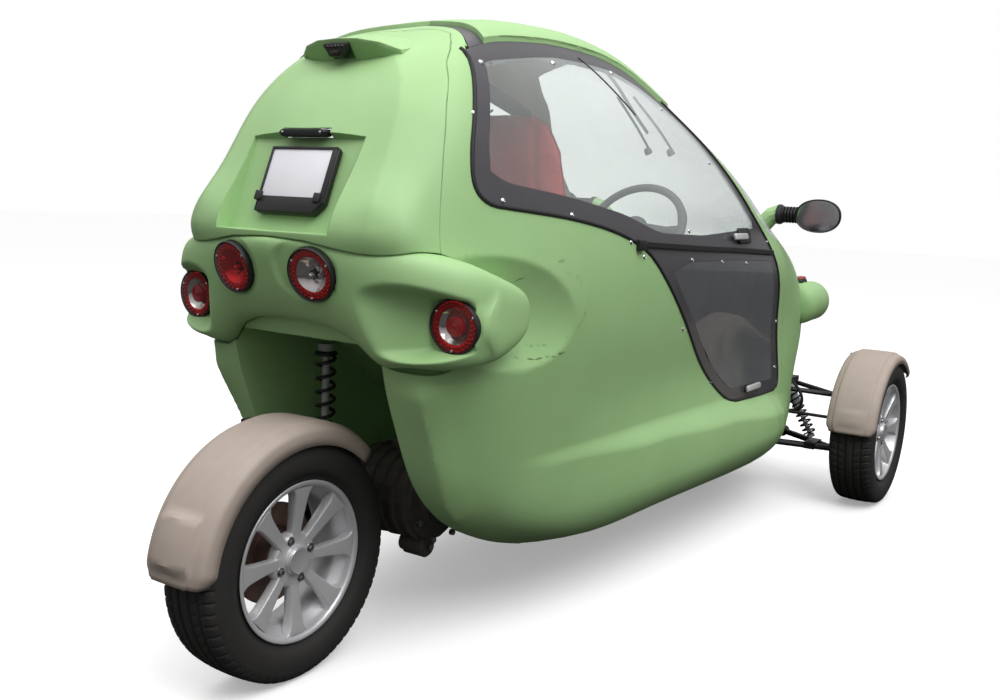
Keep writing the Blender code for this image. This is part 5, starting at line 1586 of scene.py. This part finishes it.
def padStart(bm, spine):
    rings = []
    count = len(spine)
    for k, (x, z, wide, thick) in enumerate(spine):
        before = spine[max(k - 1, 0)]
        after = spine[min(k + 1, count - 1)]
        along = (Vector((after[0], 0, after[1])) - Vector((before[0], 0, before[1]))).normalized()
        out = Vector((along.z, 0, -along.x))
        ring = []
        for i in range(32):
            turn = 2 * math.pi * i / 32
            a = math.copysign(abs(math.cos(turn)) ** 0.42, math.cos(turn)) * wide
            b = math.copysign(abs(math.sin(turn)) ** 0.55, math.sin(turn)) * thick
            ring.append(place(x, 0, z) + Vector((0, a, 0)) + out * b)
        rings.append(ring)
    loftForm(bm, rings)


def onlyActive(made):
    for other in bpy.context.scene.objects:
        other.select_set(False)
    made.select_set(True)
    bpy.context.view_layer.objects.active = made


def inflate(made):
    remesh = made.modifiers.new("remesh", "REMESH")
    remesh.mode = "VOXEL"
    remesh.voxel_size = padSizes["voxel"]
    onlyActive(made)
    bpy.ops.object.modifier_apply(modifier=remesh.name)
    rest = [v.co.copy() for v in made.data.vertices]
    cloth = made.modifiers.new("cloth", "CLOTH")
    cloth.settings.use_pressure = True
    cloth.settings.uniform_pressure_force = padSizes["pressure"]
    cloth.settings.effector_weights.gravity = 0
    cloth.settings.quality = 3
    cloth.point_cache.frame_start = 1
    cloth.point_cache.frame_end = padSizes["frames"]
    for step in range(1, padSizes["frames"] + 1):
        bpy.context.scene.frame_set(step)
    onlyActive(made)
    bpy.ops.object.modifier_apply(modifier=cloth.name)
    bpy.context.scene.frame_set(1)
    for vertex, start in zip(made.data.vertices, rest):
        move = vertex.co - start
        if move.length > padSizes["cap"]:
            vertex.co = start + move.normalized() * padSizes["cap"]


def makePad(name, node, spine):
    bm = bmesh.new()
    padStart(bm, spine)
    bmesh.ops.recalc_face_normals(bm, faces=bm.faces)
    mesh = bpy.data.meshes.new(name)
    bm.to_mesh(mesh)
    bm.free()
    mesh.materials.append(seatCloth)
    made = bpy.data.objects.new(name, mesh)
    bpy.context.scene.collection.objects.link(made)
    inflate(made)
    # Sewn channels down both sides of the pad and across it draw the cloth in.
    low = min(p[0] for p in spine)
    high = max(p[0] for p in spine)
    lowZ = min(p[1] for p in spine)
    highZ = max(p[1] for p in spine)
    upright = highZ - lowZ > high - low
    wide = max(p[2] for p in spine)
    for vertex in made.data.vertices:
        x = vertex.co.x - rearAxleX
        along = (vertex.co.z - lowZ) / (highZ - lowZ) if upright else (x - low) / (high - low)
        span = (highZ - lowZ) if upright else (high - low)
        near = abs(abs(vertex.co.y) - wide * 0.58)
        for share in (0.30, 0.62):
            if abs(vertex.co.y) < wide * 0.58:
                near = min(near, abs(along - share) * span)
        pull = padSizes["channelDepth"] * math.exp(-(near / padSizes["channelHalf"]) ** 2)
        vertex.co -= vertex.normal * pull
    made.data.shade_smooth()
    soft = made.modifiers.new("soft", "SUBSURF")
    soft.levels = 1
    soft.render_levels = 1
    onlyActive(made)
    bpy.ops.object.modifier_apply(modifier=soft.name)
    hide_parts(node)
    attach(made, "car_body")
    # Piping runs round the pad where its two panels are sewn together.
    line = []
    for x, z, half, thick in spine:
        line.append((x, z, half))
    bm = bmesh.new()
    tree = BVHTree.FromPolygons([v.co for v in made.data.vertices],
                                [p.vertices for p in made.data.polygons])
    points = []
    for sign in (1, -1):
        side = []
        for k in range(len(line) * 6 - 5):
            share = k / 6
            i = min(int(share), len(line) - 2)
            t = share - i
            x, z, half = ((1 - t) * a + t * b for a, b in zip(line[i], line[i + 1]))
            hit, _, _, _ = tree.ray_cast(place(x, sign * 0.5, z), Vector((0, -sign, 0)))
            if hit:
                side.append(hit)
        points += side if sign > 0 else side[::-1]
    tubeForm(bm, points, 0.0035, 8, True)
    made = finishForm(name + "_piping", bm, (pipingCloth,), "car_body")


for name, (node, spine) in seatPads.items():
    makePad(name, node, spine)
print("seat pads")

steering = {
    "centre": (1.720, 0.0, 1.035),
    "axis": (-0.84, 0.0, 0.54),
    "radius": 0.180,
    "grip": 0.0145,
}


def makeSteeringWheel():
    axis = Vector(steering["axis"]).normalized()
    across = Vector((0, 1, 0))
    up = axis.cross(across)
    if up.z < 0:
        up = -up
    spot = axes(place(*steering["centre"]), across, axis, up)
    bm = bmesh.new()
    steps = 96
    rings = []
    for k in range(steps):
        turn = 2 * math.pi * k / steps
        out = Vector((math.cos(turn), 0, math.sin(turn)))
        # Thumb rests swell the rim near the spokes.
        swell = 1 + 0.18 * math.exp(-((abs(math.cos(turn)) - 0.94) / 0.06) ** 2) * (
            1 if math.sin(turn) > -0.1 else 0)
        ring = []
        for i in range(14):
            angle = 2 * math.pi * i / 14
            ring.append(bm.verts.new(spot @ (out * (steering["radius"] + steering["grip"] * swell
                                                    * math.cos(angle))
                                             + Vector((0, steering["grip"] * 0.92 * swell
                                                       * math.sin(angle), 0)))))
        rings.append(ring)
    for first, second in zip(rings, rings[1:] + rings[:1]):
        for i in range(14):
            j = (i + 1) % 14
            bm.faces.new((first[i], first[j], second[j], second[i]))
    for degrees in (4, 176, 270):
        turn = math.radians(degrees)
        out = Vector((math.cos(turn), 0, math.sin(turn)))
        side = Vector((-math.sin(turn), 0, math.cos(turn)))
        rings = []
        for reach, half, level, thick in ((0.030, 0.028, 0.002, 0.010), (0.070, 0.022, 0.0, 0.009),
                                          (0.120, 0.015, -0.004, 0.007),
                                          (0.172, 0.019, -0.002, 0.007)):
            rings.append([spot @ (out * reach + side * half * math.cos(2 * math.pi * i / 12)
                                  + Vector((0, level + thick * math.sin(2 * math.pi * i / 12), 0)))
                          for i in range(12)])
        loftForm(bm, rings)
    turnedForm(bm, ((-0.040, 0.0), (-0.040, 0.026), (-0.012, 0.044), (0.006, 0.052),
                    (0.016, 0.048), (0.021, 0.034), (0.023, 0.0)), 40, False, spot, 1)
    made = finishForm("hand_wheel_rim", bm, (greyPlastic, blackPlastic),
                      nodes["steering_wheel"]["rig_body"], ("steering_wheel",), 40)


makeSteeringWheel()

wiper = {
    # The linkage lies close over the screen's lower end, its blade up the middle.
    "foot": ((1.860, 0.030), (1.860, -0.060)),
    "head": ((1.560, 0.015), (1.555, -0.045)),
    "blade": (1.745, 1.330),
}


def onScreen(x, y, lift):
    start = place(x, y, 2.0)
    hit, normal, _, _ = outerSkin.fine.ray_cast(start, Vector((0, 0, -1)))
    spot, normal = outerSkin.smooth(hit)
    return spot + normal * lift


def makeWiper():
    bm = bmesh.new()
    for (footX, footY), (headX, headY) in zip(wiper["foot"], wiper["head"]):
        points = [onScreen(footX + (headX - footX) * k / 8, footY + (headY - footY) * k / 8,
                           0.016 + 0.008 * math.sin(math.pi * k / 8)) for k in range(9)]
        tubeForm(bm, points, 0.0045, 8)
        foot = onScreen(footX, footY, 0.004)
        turnedForm(bm, ((-0.004, 0.0), (-0.004, 0.014), (0.012, 0.013), (0.018, 0.009),
                        (0.019, 0.0)), 20, False,
                   Matrix.Translation(foot) @ Matrix.Rotation(math.radians(60), 4, "X"))
    low, high = wiper["blade"]
    points = [onScreen(low + (high - low) * k / 14, -0.015, 0.010) for k in range(15)]
    tubeForm(bm, points, 0.0050, 6)
    points = [onScreen(low + (high - low) * k / 14, -0.015, 0.005) for k in range(15)]
    tubeForm(bm, points, 0.0035, 4)
    made = finishForm("windscreen_wiper", bm, (blackSteel,), "car_body")


makeWiper()


print("mirrors, headlamps, suspension and motor")

# Mirror glass: first-surface silver with a faint blue tint, seen as a soft grey.
mirrorGlass = mouldedFinish("silvered mirror glass", "b4b8bb", "aaaeb2", (0.10, 0.14), 20.0,
                            0.000002, metallic=1.0, edge=0.0005)
# Zinc and paint on the damper tubes: light grey, satin.
greyTube = mouldedFinish("grey painted damper tube", "b4b5b6", "a6a7a9", (0.32, 0.42), 2.0,
                         0.00002)
# Brake hose: braided rubber, dull black.
hoseRubber = mouldedFinish("braided brake hose", "202022", "151517", (0.50, 0.65), 1.5, 0.0002,
                           edge=0.0005)
# Copper crimp where hose meets pipe.
copper = mouldedFinish("copper crimp", "c47a4e", "a8633c", (0.25, 0.40), 1.0, 0.00002,
                       metallic=1.0, edge=0.0005)
# Bright bowl and clear cover of the headlamps, and the amber-red repeater.
headGlass = clearSheet("clear headlamp cover", "fafbfb", "e2e6e8", 0.05)
repeaterLens = mouldedFinish("red amber repeater lens", "a8382a", "8a2a1e", (0.08, 0.14), 5.0,
                             0.00004, edge=0.0006)

mirrors = {
    "foot": (2.130, 0.402, 1.112),
    "stubEnd": 0.480,
    "bowl": (0.541, 1.112, 0.079, 0.0595),   # across, up, half width, half height
    "glassX": 2.096,
    "depth": 0.044,
    "ribs": 7,
}


def makeMirror(side, sign):
    x, y, z = mirrors["foot"]
    bm = bmesh.new()
    # Ribbed rubber bellows round the stub between the arm and the head.
    profile = [(-0.004, 0.0), (-0.004, 0.029)]
    span = mirrors["stubEnd"] - y
    ribs = mirrors["ribs"]
    for k in range(ribs):
        start = span * k / ribs
        profile += [(start + span * 0.10 / ribs, 0.0225), (start + span * 0.30 / ribs, 0.0300),
                    (start + span * 0.62 / ribs, 0.0300), (start + span * 0.84 / ribs, 0.0225)]
    profile += [(span, 0.024), (span + 0.004, 0.0)]
    spot = Matrix.Translation(place(x, sign * y, z)) @ Matrix.Scale(sign, 4, (0, 1, 0))
    turnedForm(bm, profile, 40, False, spot, 0)
    # The shell: an egg-shaped bowl, its open side to the rear, with a rolled rim.
    middle, height, halfWide, halfTall = mirrors["bowl"]
    back = mirrors["glassX"]
    rows = []
    for grow, depth in ((0.925, 0.0045), (0.940, 0.0010), (0.975, -0.0010), (1.0, 0.0015),
                        (1.008, 0.0070), (0.995, 0.0150), (0.960, 0.0240), (0.890, 0.0320),
                        (0.770, 0.0385), (0.580, 0.0425), (0.320, 0.0440), (0.0, 0.0445)):
        row = []
        for i in range(48):
            turn = 2 * math.pi * i / 48
            # The outer end is blunter than the end at the stub.
            wide = halfWide * (1.0 if math.cos(turn) > 0 else 1.06)
            a = wide * math.copysign(abs(math.cos(turn)) ** 0.92, math.cos(turn))
            b = halfTall * math.copysign(abs(math.sin(turn)) ** 0.90, math.sin(turn))
            row.append(place(back + depth, sign * (middle + a * grow), height + b * grow))
        rows.append(row)
    made = [[bm.verts.new(p) for p in row] for row in rows[:-1]]
    tip = bm.verts.new(rows[-1][0])
    for first, second in zip(made, made[1:]):
        for i in range(48):
            j = (i + 1) % 48
            bm.faces.new((first[i], first[j], second[j], second[i]))
    for i in range(48):
        bm.faces.new((made[-1][i], made[-1][(i + 1) % 48], tip))
    glass = [bm.verts.new(place(back + 0.0040, p[1], p[2])) for p in
             [(0, v.y, v.z) for v in rows[0]]]
    centre = bm.verts.new(place(back + 0.0022, sign * middle, height))
    for i in range(48):
        bm.faces.new((glass[i], glass[(i + 1) % 48], centre)).material_index = 1
    head = finishForm("mirror_" + side + "_shell", bm, (blackPlastic, mirrorGlass), "car_body",
                      ("mirror_head_" + side,), 40)
    # Rubber boot where the arm leaves the door pillar.
    low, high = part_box("mirror_arm_" + side)
    inner = min(abs(low.y), abs(high.y))
    bm = bmesh.new()
    turnedForm(bm, ((-0.020, 0.0), (-0.020, 0.046), (-0.008, 0.047), (0.0, 0.043),
                    (0.005, 0.036), (0.005, 0.0)), 40, False,
               Matrix.Translation(place(x - 0.004, sign * (y - 0.002), z))
               @ Matrix.Scale(sign, 4, (0, 1, 0)) @ Matrix.Scale(0.78, 4), 0)
    made = finishForm("mirror_boot_" + side, bm, (rubberSeal,), "car_body")


makeMirror("left", 1)
makeMirror("right", -1)

headlamps = {
    "across": 0.372, "height": 0.762,
    "front": 2.640, "rear": 2.440,
    "radius": 0.080, "rearRadius": 0.085,
}


def makeHeadlamp(side, sign):
    spot = Matrix.Translation(place(headlamps["front"], sign * headlamps["across"],
                                    headlamps["height"])) @ Matrix.Rotation(
        math.radians(-90), 4, "Z")
    radius = headlamps["radius"]
    rear = headlamps["rearRadius"]
    length = headlamps["front"] - headlamps["rear"]
    bm = bmesh.new()
    # Shell, rolled front rim, bowl with steps, bulb and cover; local Y runs forward.
    turnedForm(bm, ((-length, 0.0), (-length, rear * 0.55), (-length + 0.012, rear * 0.82),
                    (-length + 0.030, rear * 0.96), (-length + 0.055, rear), (-0.060, radius + 0.001),
                    (-0.004, radius), (-0.001, radius - 0.002), (0.0, radius - 0.005),
                    (-0.002, radius - 0.009), (-0.010, radius - 0.010)), 72, False, spot, 0)
    turnedForm(bm, ((-0.010, radius - 0.0102), (-0.016, radius - 0.0150),
                    (-0.030, radius - 0.024), (-0.046, radius - 0.038), (-0.058, radius - 0.056),
                    (-0.062, 0.0)), 24, False, spot, 1)
    turnedForm(bm, ((-0.060, 0.011), (-0.034, 0.010), (-0.026, 0.006), (-0.024, 0.0)), 20, False,
               spot, 2)
    turnedForm(bm, ((-0.006, radius - 0.009), (-0.002, radius * 0.78), (0.0010, radius * 0.5),
                    (0.0020, radius * 0.2), (0.0022, 0.0)), 48, False, spot, 3)
    made = finishForm("headlamp_" + side + "_unit", bm, (green, silverMirror, chrome, headGlass),
                      "car_body", ("headlamp_" + side,), 40)
    # The repeater on top: a black foot with a red-amber lens.
    bm = bmesh.new()
    top = axes(place(2.500, sign * 0.372, headlamps["height"] + rear - 0.004),
               Vector((1, 0, 0)), Vector((0, sign, 0)), Vector((0, 0, 1)))
    plateForm(bm, top @ Matrix.Translation((0, -0.015, 0)),
              ((-0.034, 0.0), (0.034, 0.0), (0.028, 0.014), (-0.028, 0.014)), 0.030, 0.004, 0)
    plateForm(bm, top @ Matrix.Translation((0, -0.013, 0)),
              ((-0.026, 0.013), (0.026, 0.013), (0.020, 0.025), (-0.018, 0.025)), 0.026, 0.005, 1)
    made = finishForm("repeater_" + side, bm, (blackPlastic, repeaterLens), "car_body")


makeHeadlamp("left", 1)
makeHeadlamp("right", -1)


def coilForm(bm, start, end, radius, wire, turns, material=0):
    start = Vector(start)
    axis = Vector(end) - start
    length = axis.length
    along = axis.normalized()
    across = along.orthogonal().normalized()
    beyond = along.cross(across)
    steps = turns * 20
    points = []
    for k in range(steps + 1):
        turn = 2 * math.pi * turns * k / steps
        points.append(start + along * length * k / steps
                      + (across * math.cos(turn) + beyond * math.sin(turn)) * radius)
    tubeForm(bm, points, wire, 7, False, material)


def rodForm(bm, start, end, profile, segments=24, material=0):
    # profile: (share of the length, radius) along the rod.
    start = Vector(start)
    axis = Vector(end) - start
    along = axis.normalized()
    across = along.orthogonal().normalized()
    spot = axes(start, across, along, along.cross(across) * -1)
    turnedForm(bm, [(share * axis.length, radius) for share, radius in profile], segments,
               False, spot, material)


frontDamper = {
    "top": (2.500, 0.400, 0.590), "foot": (2.510, 0.470, 0.300),
    "coil": 0.033, "wire": 0.0045, "turns": 9,
}


def makeFrontDamper(side, sign):
    low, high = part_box("damper_" + side)
    # The damper leans outward: its top is at the hull, its foot by the wheel.
    middleX = (low.x + high.x) / 2
    reach = 0.024
    ys = sorted((abs(low.y), abs(high.y)))
    first = Vector((middleX, sign * (ys[0] + reach), high.z - reach * 0.5))
    second = Vector((middleX, sign * (ys[1] - reach), low.z + reach * 0.5))
    bm = bmesh.new()
    rodForm(bm, first, second, ((0.0, 0.0), (0.0, 0.019), (0.04, 0.020), (0.06, 0.0195),
                                (0.46, 0.0195), (0.48, 0.017), (0.485, 0.0085),
                                (0.93, 0.0085), (0.93, 0.0150), (1.0, 0.0150), (1.0, 0.0)),
            28, 0)
    along = second - first
    coilForm(bm, first + along * 0.10, first + along * 0.90, frontDamper["coil"] * 0.68,
             frontDamper["wire"] * 0.8, frontDamper["turns"], 1)
    for share in (0.095, 0.905):
        rodForm(bm, first + along * (share - 0.012), first + along * (share + 0.012),
                ((0.0, 0.0), (0.0, 0.0235), (0.3, 0.0255), (0.7, 0.0255), (1.0, 0.0235),
                 (1.0, 0.0)), 28, 1)
    made = finishForm("front_damper_" + side, bm, (greyTube, blackSteel),
                      nodes["damper_" + side]["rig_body"], ("damper_" + side,), 35)


makeFrontDamper("left", 1)
makeFrontDamper("right", -1)

frontHoses = {
    # The fixed lines on the hull's side of the front suspension, as (x, across, z).
    "brake": ((2.405, 0.300, 0.470), (2.412, 0.340, 0.476), (2.420, 0.385, 0.460),
              (2.426, 0.420, 0.425), (2.430, 0.438, 0.385), (2.432, 0.430, 0.350),
              (2.430, 0.395, 0.332), (2.424, 0.350, 0.330), (2.418, 0.305, 0.335)),
    "wire": ((2.380, 0.300, 0.440), (2.386, 0.335, 0.430), (2.392, 0.365, 0.405),
             (2.396, 0.378, 0.372), (2.396, 0.366, 0.345), (2.392, 0.330, 0.338),
             (2.388, 0.300, 0.340)),
    "brakeRadius": 0.0060, "wireRadius": 0.0042,
}


def curveThrough(points, step=6):
    return [Vector(p) for p in spline(points, [step] * (len(points) - 1), False)]


def makeHoses(side, sign):
    bm = bmesh.new()
    for key, radius in (("brake", frontHoses["brakeRadius"]), ("wire", frontHoses["wireRadius"])):
        line = [place(x, sign * y, z) for x, y, z in frontHoses[key]]
        tubeForm(bm, curveThrough([tuple(p) for p in line]), radius, 10, False, 0)
    near, far = (place(x, sign * y, z) for x, y, z in frontHoses["brake"][1:3])
    rodForm(bm, near, near + (far - near) * 0.55,
            ((0.0, 0.0), (0.0, 0.0078), (0.35, 0.0098), (0.55, 0.0098), (0.60, 0.0076),
             (1.0, 0.0076), (1.0, 0.0)), 12, 1)
    made = finishForm("brake_lines_" + side, bm, (hoseRubber, copper), "car_body")


makeHoses("left", 1)
makeHoses("right", -1)


def makeArmBushes():
    # Rubber bushes and bolt heads at the inner ends of the front arms.
    for side, sign in (("left", 1), ("right", -1)):
        bm = bmesh.new()
        for x, z in ((-0.095, 0.195), (0.140, 0.195), (-0.095, 0.420), (0.125, 0.420)):
            centre = place(2.520 + x, sign * 0.300, z)
            rodForm(bm, centre - Vector((0.021, 0, 0)), centre + Vector((0.021, 0, 0)),
                    ((0.0, 0.0), (0.0, 0.020), (0.08, 0.0215), (0.92, 0.0215), (1.0, 0.020),
                     (1.0, 0.0)), 24, 0)
            rodForm(bm, centre - Vector((0.029, 0, 0)), centre + Vector((0.029, 0, 0)),
                    ((0.0, 0.0), (0.0, 0.0085), (0.02, 0.0095), (0.98, 0.0095), (1.0, 0.0085),
                     (1.0, 0.0)), 6, 1)
        made = finishForm("arm_bushes_" + side, bm, (rubberSeal, boltZinc), "car_body")


makeArmBushes()

rearDamper = {
    "x": 0.300, "across": 0.150, "foot": 0.365, "top": 0.735,
    "coil": 0.040, "wire": 0.0062, "turns": 8,
}


def makeRearDamper():
    low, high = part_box("rear_damper")
    x = (low.x + high.x) / 2
    y = (low.y + high.y) / 2
    foot = Vector((x, y, low.z + 0.002))
    top = Vector((x, y, high.z - 0.002))
    bm = bmesh.new()
    rodForm(bm, foot, top, ((0.0, 0.0), (0.0, 0.024), (0.05, 0.026), (0.42, 0.026),
                            (0.44, 0.020), (0.445, 0.010), (0.95, 0.010), (0.95, 0.022),
                            (1.0, 0.022), (1.0, 0.0)), 28, 0)
    span = top - foot
    coilForm(bm, foot + span * 0.16, foot + span * 0.92, rearDamper["coil"] * 0.58,
             rearDamper["wire"] * 0.75, rearDamper["turns"], 1)
    for share in (0.15, 0.93):
        rodForm(bm, foot + span * (share - 0.012), foot + span * (share + 0.012),
                ((0.0, 0.0), (0.0, 0.0275), (0.3, 0.0295), (0.7, 0.0295), (1.0, 0.0275),
                 (1.0, 0.0)), 28, 1)
    made = finishForm("rear_damper_unit", bm, (greyTube, blackSteel),
                      nodes["rear_damper"]["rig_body"], ("rear_damper",), 35)


makeRearDamper()

motor = {
    "middle": (0.440, -0.020, 0.350),
    "radius": 0.120, "half": 0.120,
    "bolts": 8,
}


def makeMotorDetails():
    x, y, z = motor["middle"]
    centre = place(x, y, z)
    body = nodes["drive_motor"]["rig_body"]
    radius = motor["radius"]
    half = motor["half"]
    bm = bmesh.new()
    # Bolts on both end covers.
    for sign in (1, -1):
        for k in range(motor["bolts"]):
            turn = 2 * math.pi * (k + 0.5) / motor["bolts"]
            out = Vector((math.cos(turn), 0, math.sin(turn))) * (radius - 0.012)
            spot = centre + out + Vector((0, sign * (half - 0.004), 0))
            rodForm(bm, spot, spot + Vector((0, sign * 0.012, 0)),
                    ((0.0, 0.0), (0.0, 0.0085), (0.85, 0.0085), (1.0, 0.0065), (1.0, 0.0)), 6, 1)
    # The terminal box and its three phase leads towards the tub.
    box = axes(centre + Vector((0.020, -0.050, radius - 0.006)), Vector((1, 0, 0)),
               Vector((0, 1, 0)), Vector((0, 0, 1)))
    plateForm(bm, box, rectangle(-0.042, 0.046, -0.004, 0.030), 0.090, 0.006, 0)
    for side in (0.016, 0.045, 0.074):
        start = box @ Vector((0.046, side, 0.013))
        line = [start, start + Vector((0.020, 0, 0.004)), start + Vector((0.044, 0, 0.018)),
                start + Vector((0.062, 0, 0.044)), start + Vector((0.070, 0, 0.078))]
        tubeForm(bm, curveThrough([tuple(p) for p in line], 5), 0.0068, 10, False, 2)
        rodForm(bm, start - Vector((0.002, 0, 0)), start + Vector((0.014, 0, 0.002)),
                ((0.0, 0.0), (0.0, 0.0105), (0.7, 0.0105), (1.0, 0.0080), (1.0, 0.0)), 12, 0)
    # The gear case's lower boss with its drain plug.
    low = centre + Vector((-0.020, -0.060, -radius - 0.010))
    rodForm(bm, low + Vector((0, -0.030, 0)), low + Vector((0, 0.050, 0)),
            ((0.0, 0.0), (0.0, 0.026), (0.06, 0.030), (0.80, 0.030), (0.86, 0.024), (1.0, 0.024),
             (1.0, 0.0)), 28, 0)
    rodForm(bm, low + Vector((0, -0.042, 0)), low + Vector((0, -0.028, 0)),
            ((0.0, 0.0), (0.0, 0.010), (1.0, 0.010), (1.0, 0.0)), 6, 1)
    made = finishForm("motor_details", bm, (motorPaint, boltZinc, hoseRubber), body, (), 35)


makeMotorDetails()


print("floor, light and camera")
studio = {
    "floorHalf": 30.0,
    "floorCamera": "f4f4f4",    # what the camera sees of the floor
    "floorBounce": "474745",    # what it throws back at the car, as dark asphalt would
    "skyTop": "ffffff",
    "skyLow": "7c7c7c",
    "skyStrength": 0.85,
    "keyPower": 105.0,
    "sidePower": 190.0,
}


def makeFloor():
    bm = bmesh.new()
    bmesh.ops.create_grid(bm, x_segments=8, y_segments=8, size=studio["floorHalf"])
    mesh = bpy.data.meshes.new("studio_floor")
    bm.to_mesh(mesh)
    bm.free()
    made = bpy.data.objects.new("studio_floor", mesh)
    made.location = (0, 0, -0.0005)
    bpy.context.scene.collection.objects.link(made)
    finish = bpy.data.materials.new("studio floor paper")
    finish.use_nodes = True
    tree = finish.node_tree
    shader = tree.nodes["Principled BSDF"]
    shader.inputs["Roughness"].default_value = 1.0
    shader.inputs["Specular IOR Level"].default_value = 0.0
    lightPath = addNode(tree, "ShaderNodeLightPath")
    seen = addNode(tree, "ShaderNodeMath", {"operation": "MAXIMUM"},
                   {0: lightPath.outputs["Is Camera Ray"],
                    1: lightPath.outputs["Is Transmission Ray"]})
    tree.links.new(mixedColour(tree, seen.outputs[0], studio["floorBounce"],
                               studio["floorCamera"]), shader.inputs["Base Color"])
    glow = addNode(tree, "ShaderNodeMath", {"operation": "MULTIPLY", 1: 0.30},
                   {0: seen.outputs[0]})
    shader.inputs["Emission Color"].default_value = (1, 1, 1, 1)
    tree.links.new(glow.outputs[0], shader.inputs["Emission Strength"])
    mesh.materials.append(finish)


def makeWorld():
    world = bpy.data.worlds.new("soft sky")
    bpy.context.scene.world = world
    world.use_nodes = True
    tree = world.node_tree
    where = addNode(tree, "ShaderNodeTexCoord")
    split = addNode(tree, "ShaderNodeSeparateXYZ", {}, {0: where.outputs["Generated"]})
    height = addNode(tree, "ShaderNodeMapRange",
                     {"From Min": -0.15, "From Max": 0.75, "To Min": 0.0, "To Max": 1.0},
                     {"Value": split.outputs["Z"]})
    sky = mixedColour(tree, height.outputs[0], studio["skyLow"], studio["skyTop"])
    lightPath = addNode(tree, "ShaderNodeLightPath")
    seen = addNode(tree, "ShaderNodeMath", {"operation": "MAXIMUM"},
                   {0: lightPath.outputs["Is Camera Ray"],
                    1: lightPath.outputs["Is Transmission Ray"]})
    lit = addNode(tree, "ShaderNodeBackground", {"Strength": studio["skyStrength"]},
                  {"Color": sky})
    white = addNode(tree, "ShaderNodeBackground", {"Color": (1, 1, 1, 1), "Strength": 1.0})
    blend = addNode(tree, "ShaderNodeMixShader", {},
                    {0: seen.outputs[0], 1: lit.outputs[0], 2: white.outputs[0]})
    tree.links.new(blend.outputs[0], tree.nodes["World Output"].inputs["Surface"])


def addLamp(name, spot, target, size, power):
    light = bpy.data.lights.new(name, "AREA")
    light.shape = "SQUARE"
    light.size = size
    light.energy = power
    made = bpy.data.objects.new(name, light)
    made.location = spot
    aim = Vector(target) - Vector(spot)
    made.rotation_euler = aim.to_track_quat("-Z", "Y").to_euler()
    bpy.context.scene.collection.objects.link(made)


makeFloor()
makeWorld()
addLamp("overhead softbox", (-1.0, 0.6, 5.0), (0, 0, 0.8), 5.0, studio["keyPower"])
addLamp("side softbox", (-1.9, -3.4, 4.9), (0.1, 0, 0.7), 3.6, studio["sidePower"])

# The camera stands at head height behind the car's right corner, found from the photo.
camera = {
    "spot": (-1.679, -1.693, 1.129),
    "yaw": 33.43, "pitch": -8.31, "roll": 2.55,   # degrees
    "lens": 37.627,                               # millimetres on a 36 mm frame
}


def makeCamera():
    yaw = math.radians(camera["yaw"])
    pitch = math.radians(camera["pitch"])
    roll = math.radians(camera["roll"])
    ahead = Vector((math.cos(pitch) * math.cos(yaw), math.cos(pitch) * math.sin(yaw),
                    math.sin(pitch)))
    side = ahead.cross(Vector((0, 0, 1))).normalized()
    up = side.cross(ahead)
    sideways = math.cos(roll) * side + math.sin(roll) * up
    upward = math.cos(roll) * up - math.sin(roll) * side
    lens = bpy.data.cameras.new("photo camera")
    lens.sensor_width = 36
    lens.lens = camera["lens"]
    lens.clip_start = 0.01
    made = bpy.data.objects.new("photo camera", lens)
    frameMatrix = Matrix((sideways, upward, -ahead)).transposed().to_4x4()
    frameMatrix.translation = place(*camera["spot"])
    made.matrix_world = frameMatrix
    bpy.context.scene.collection.objects.link(made)
    bpy.context.scene.camera = made


makeCamera()
bpy.context.scene.view_settings.view_transform = "Standard"

bpy.context.view_layer.update()
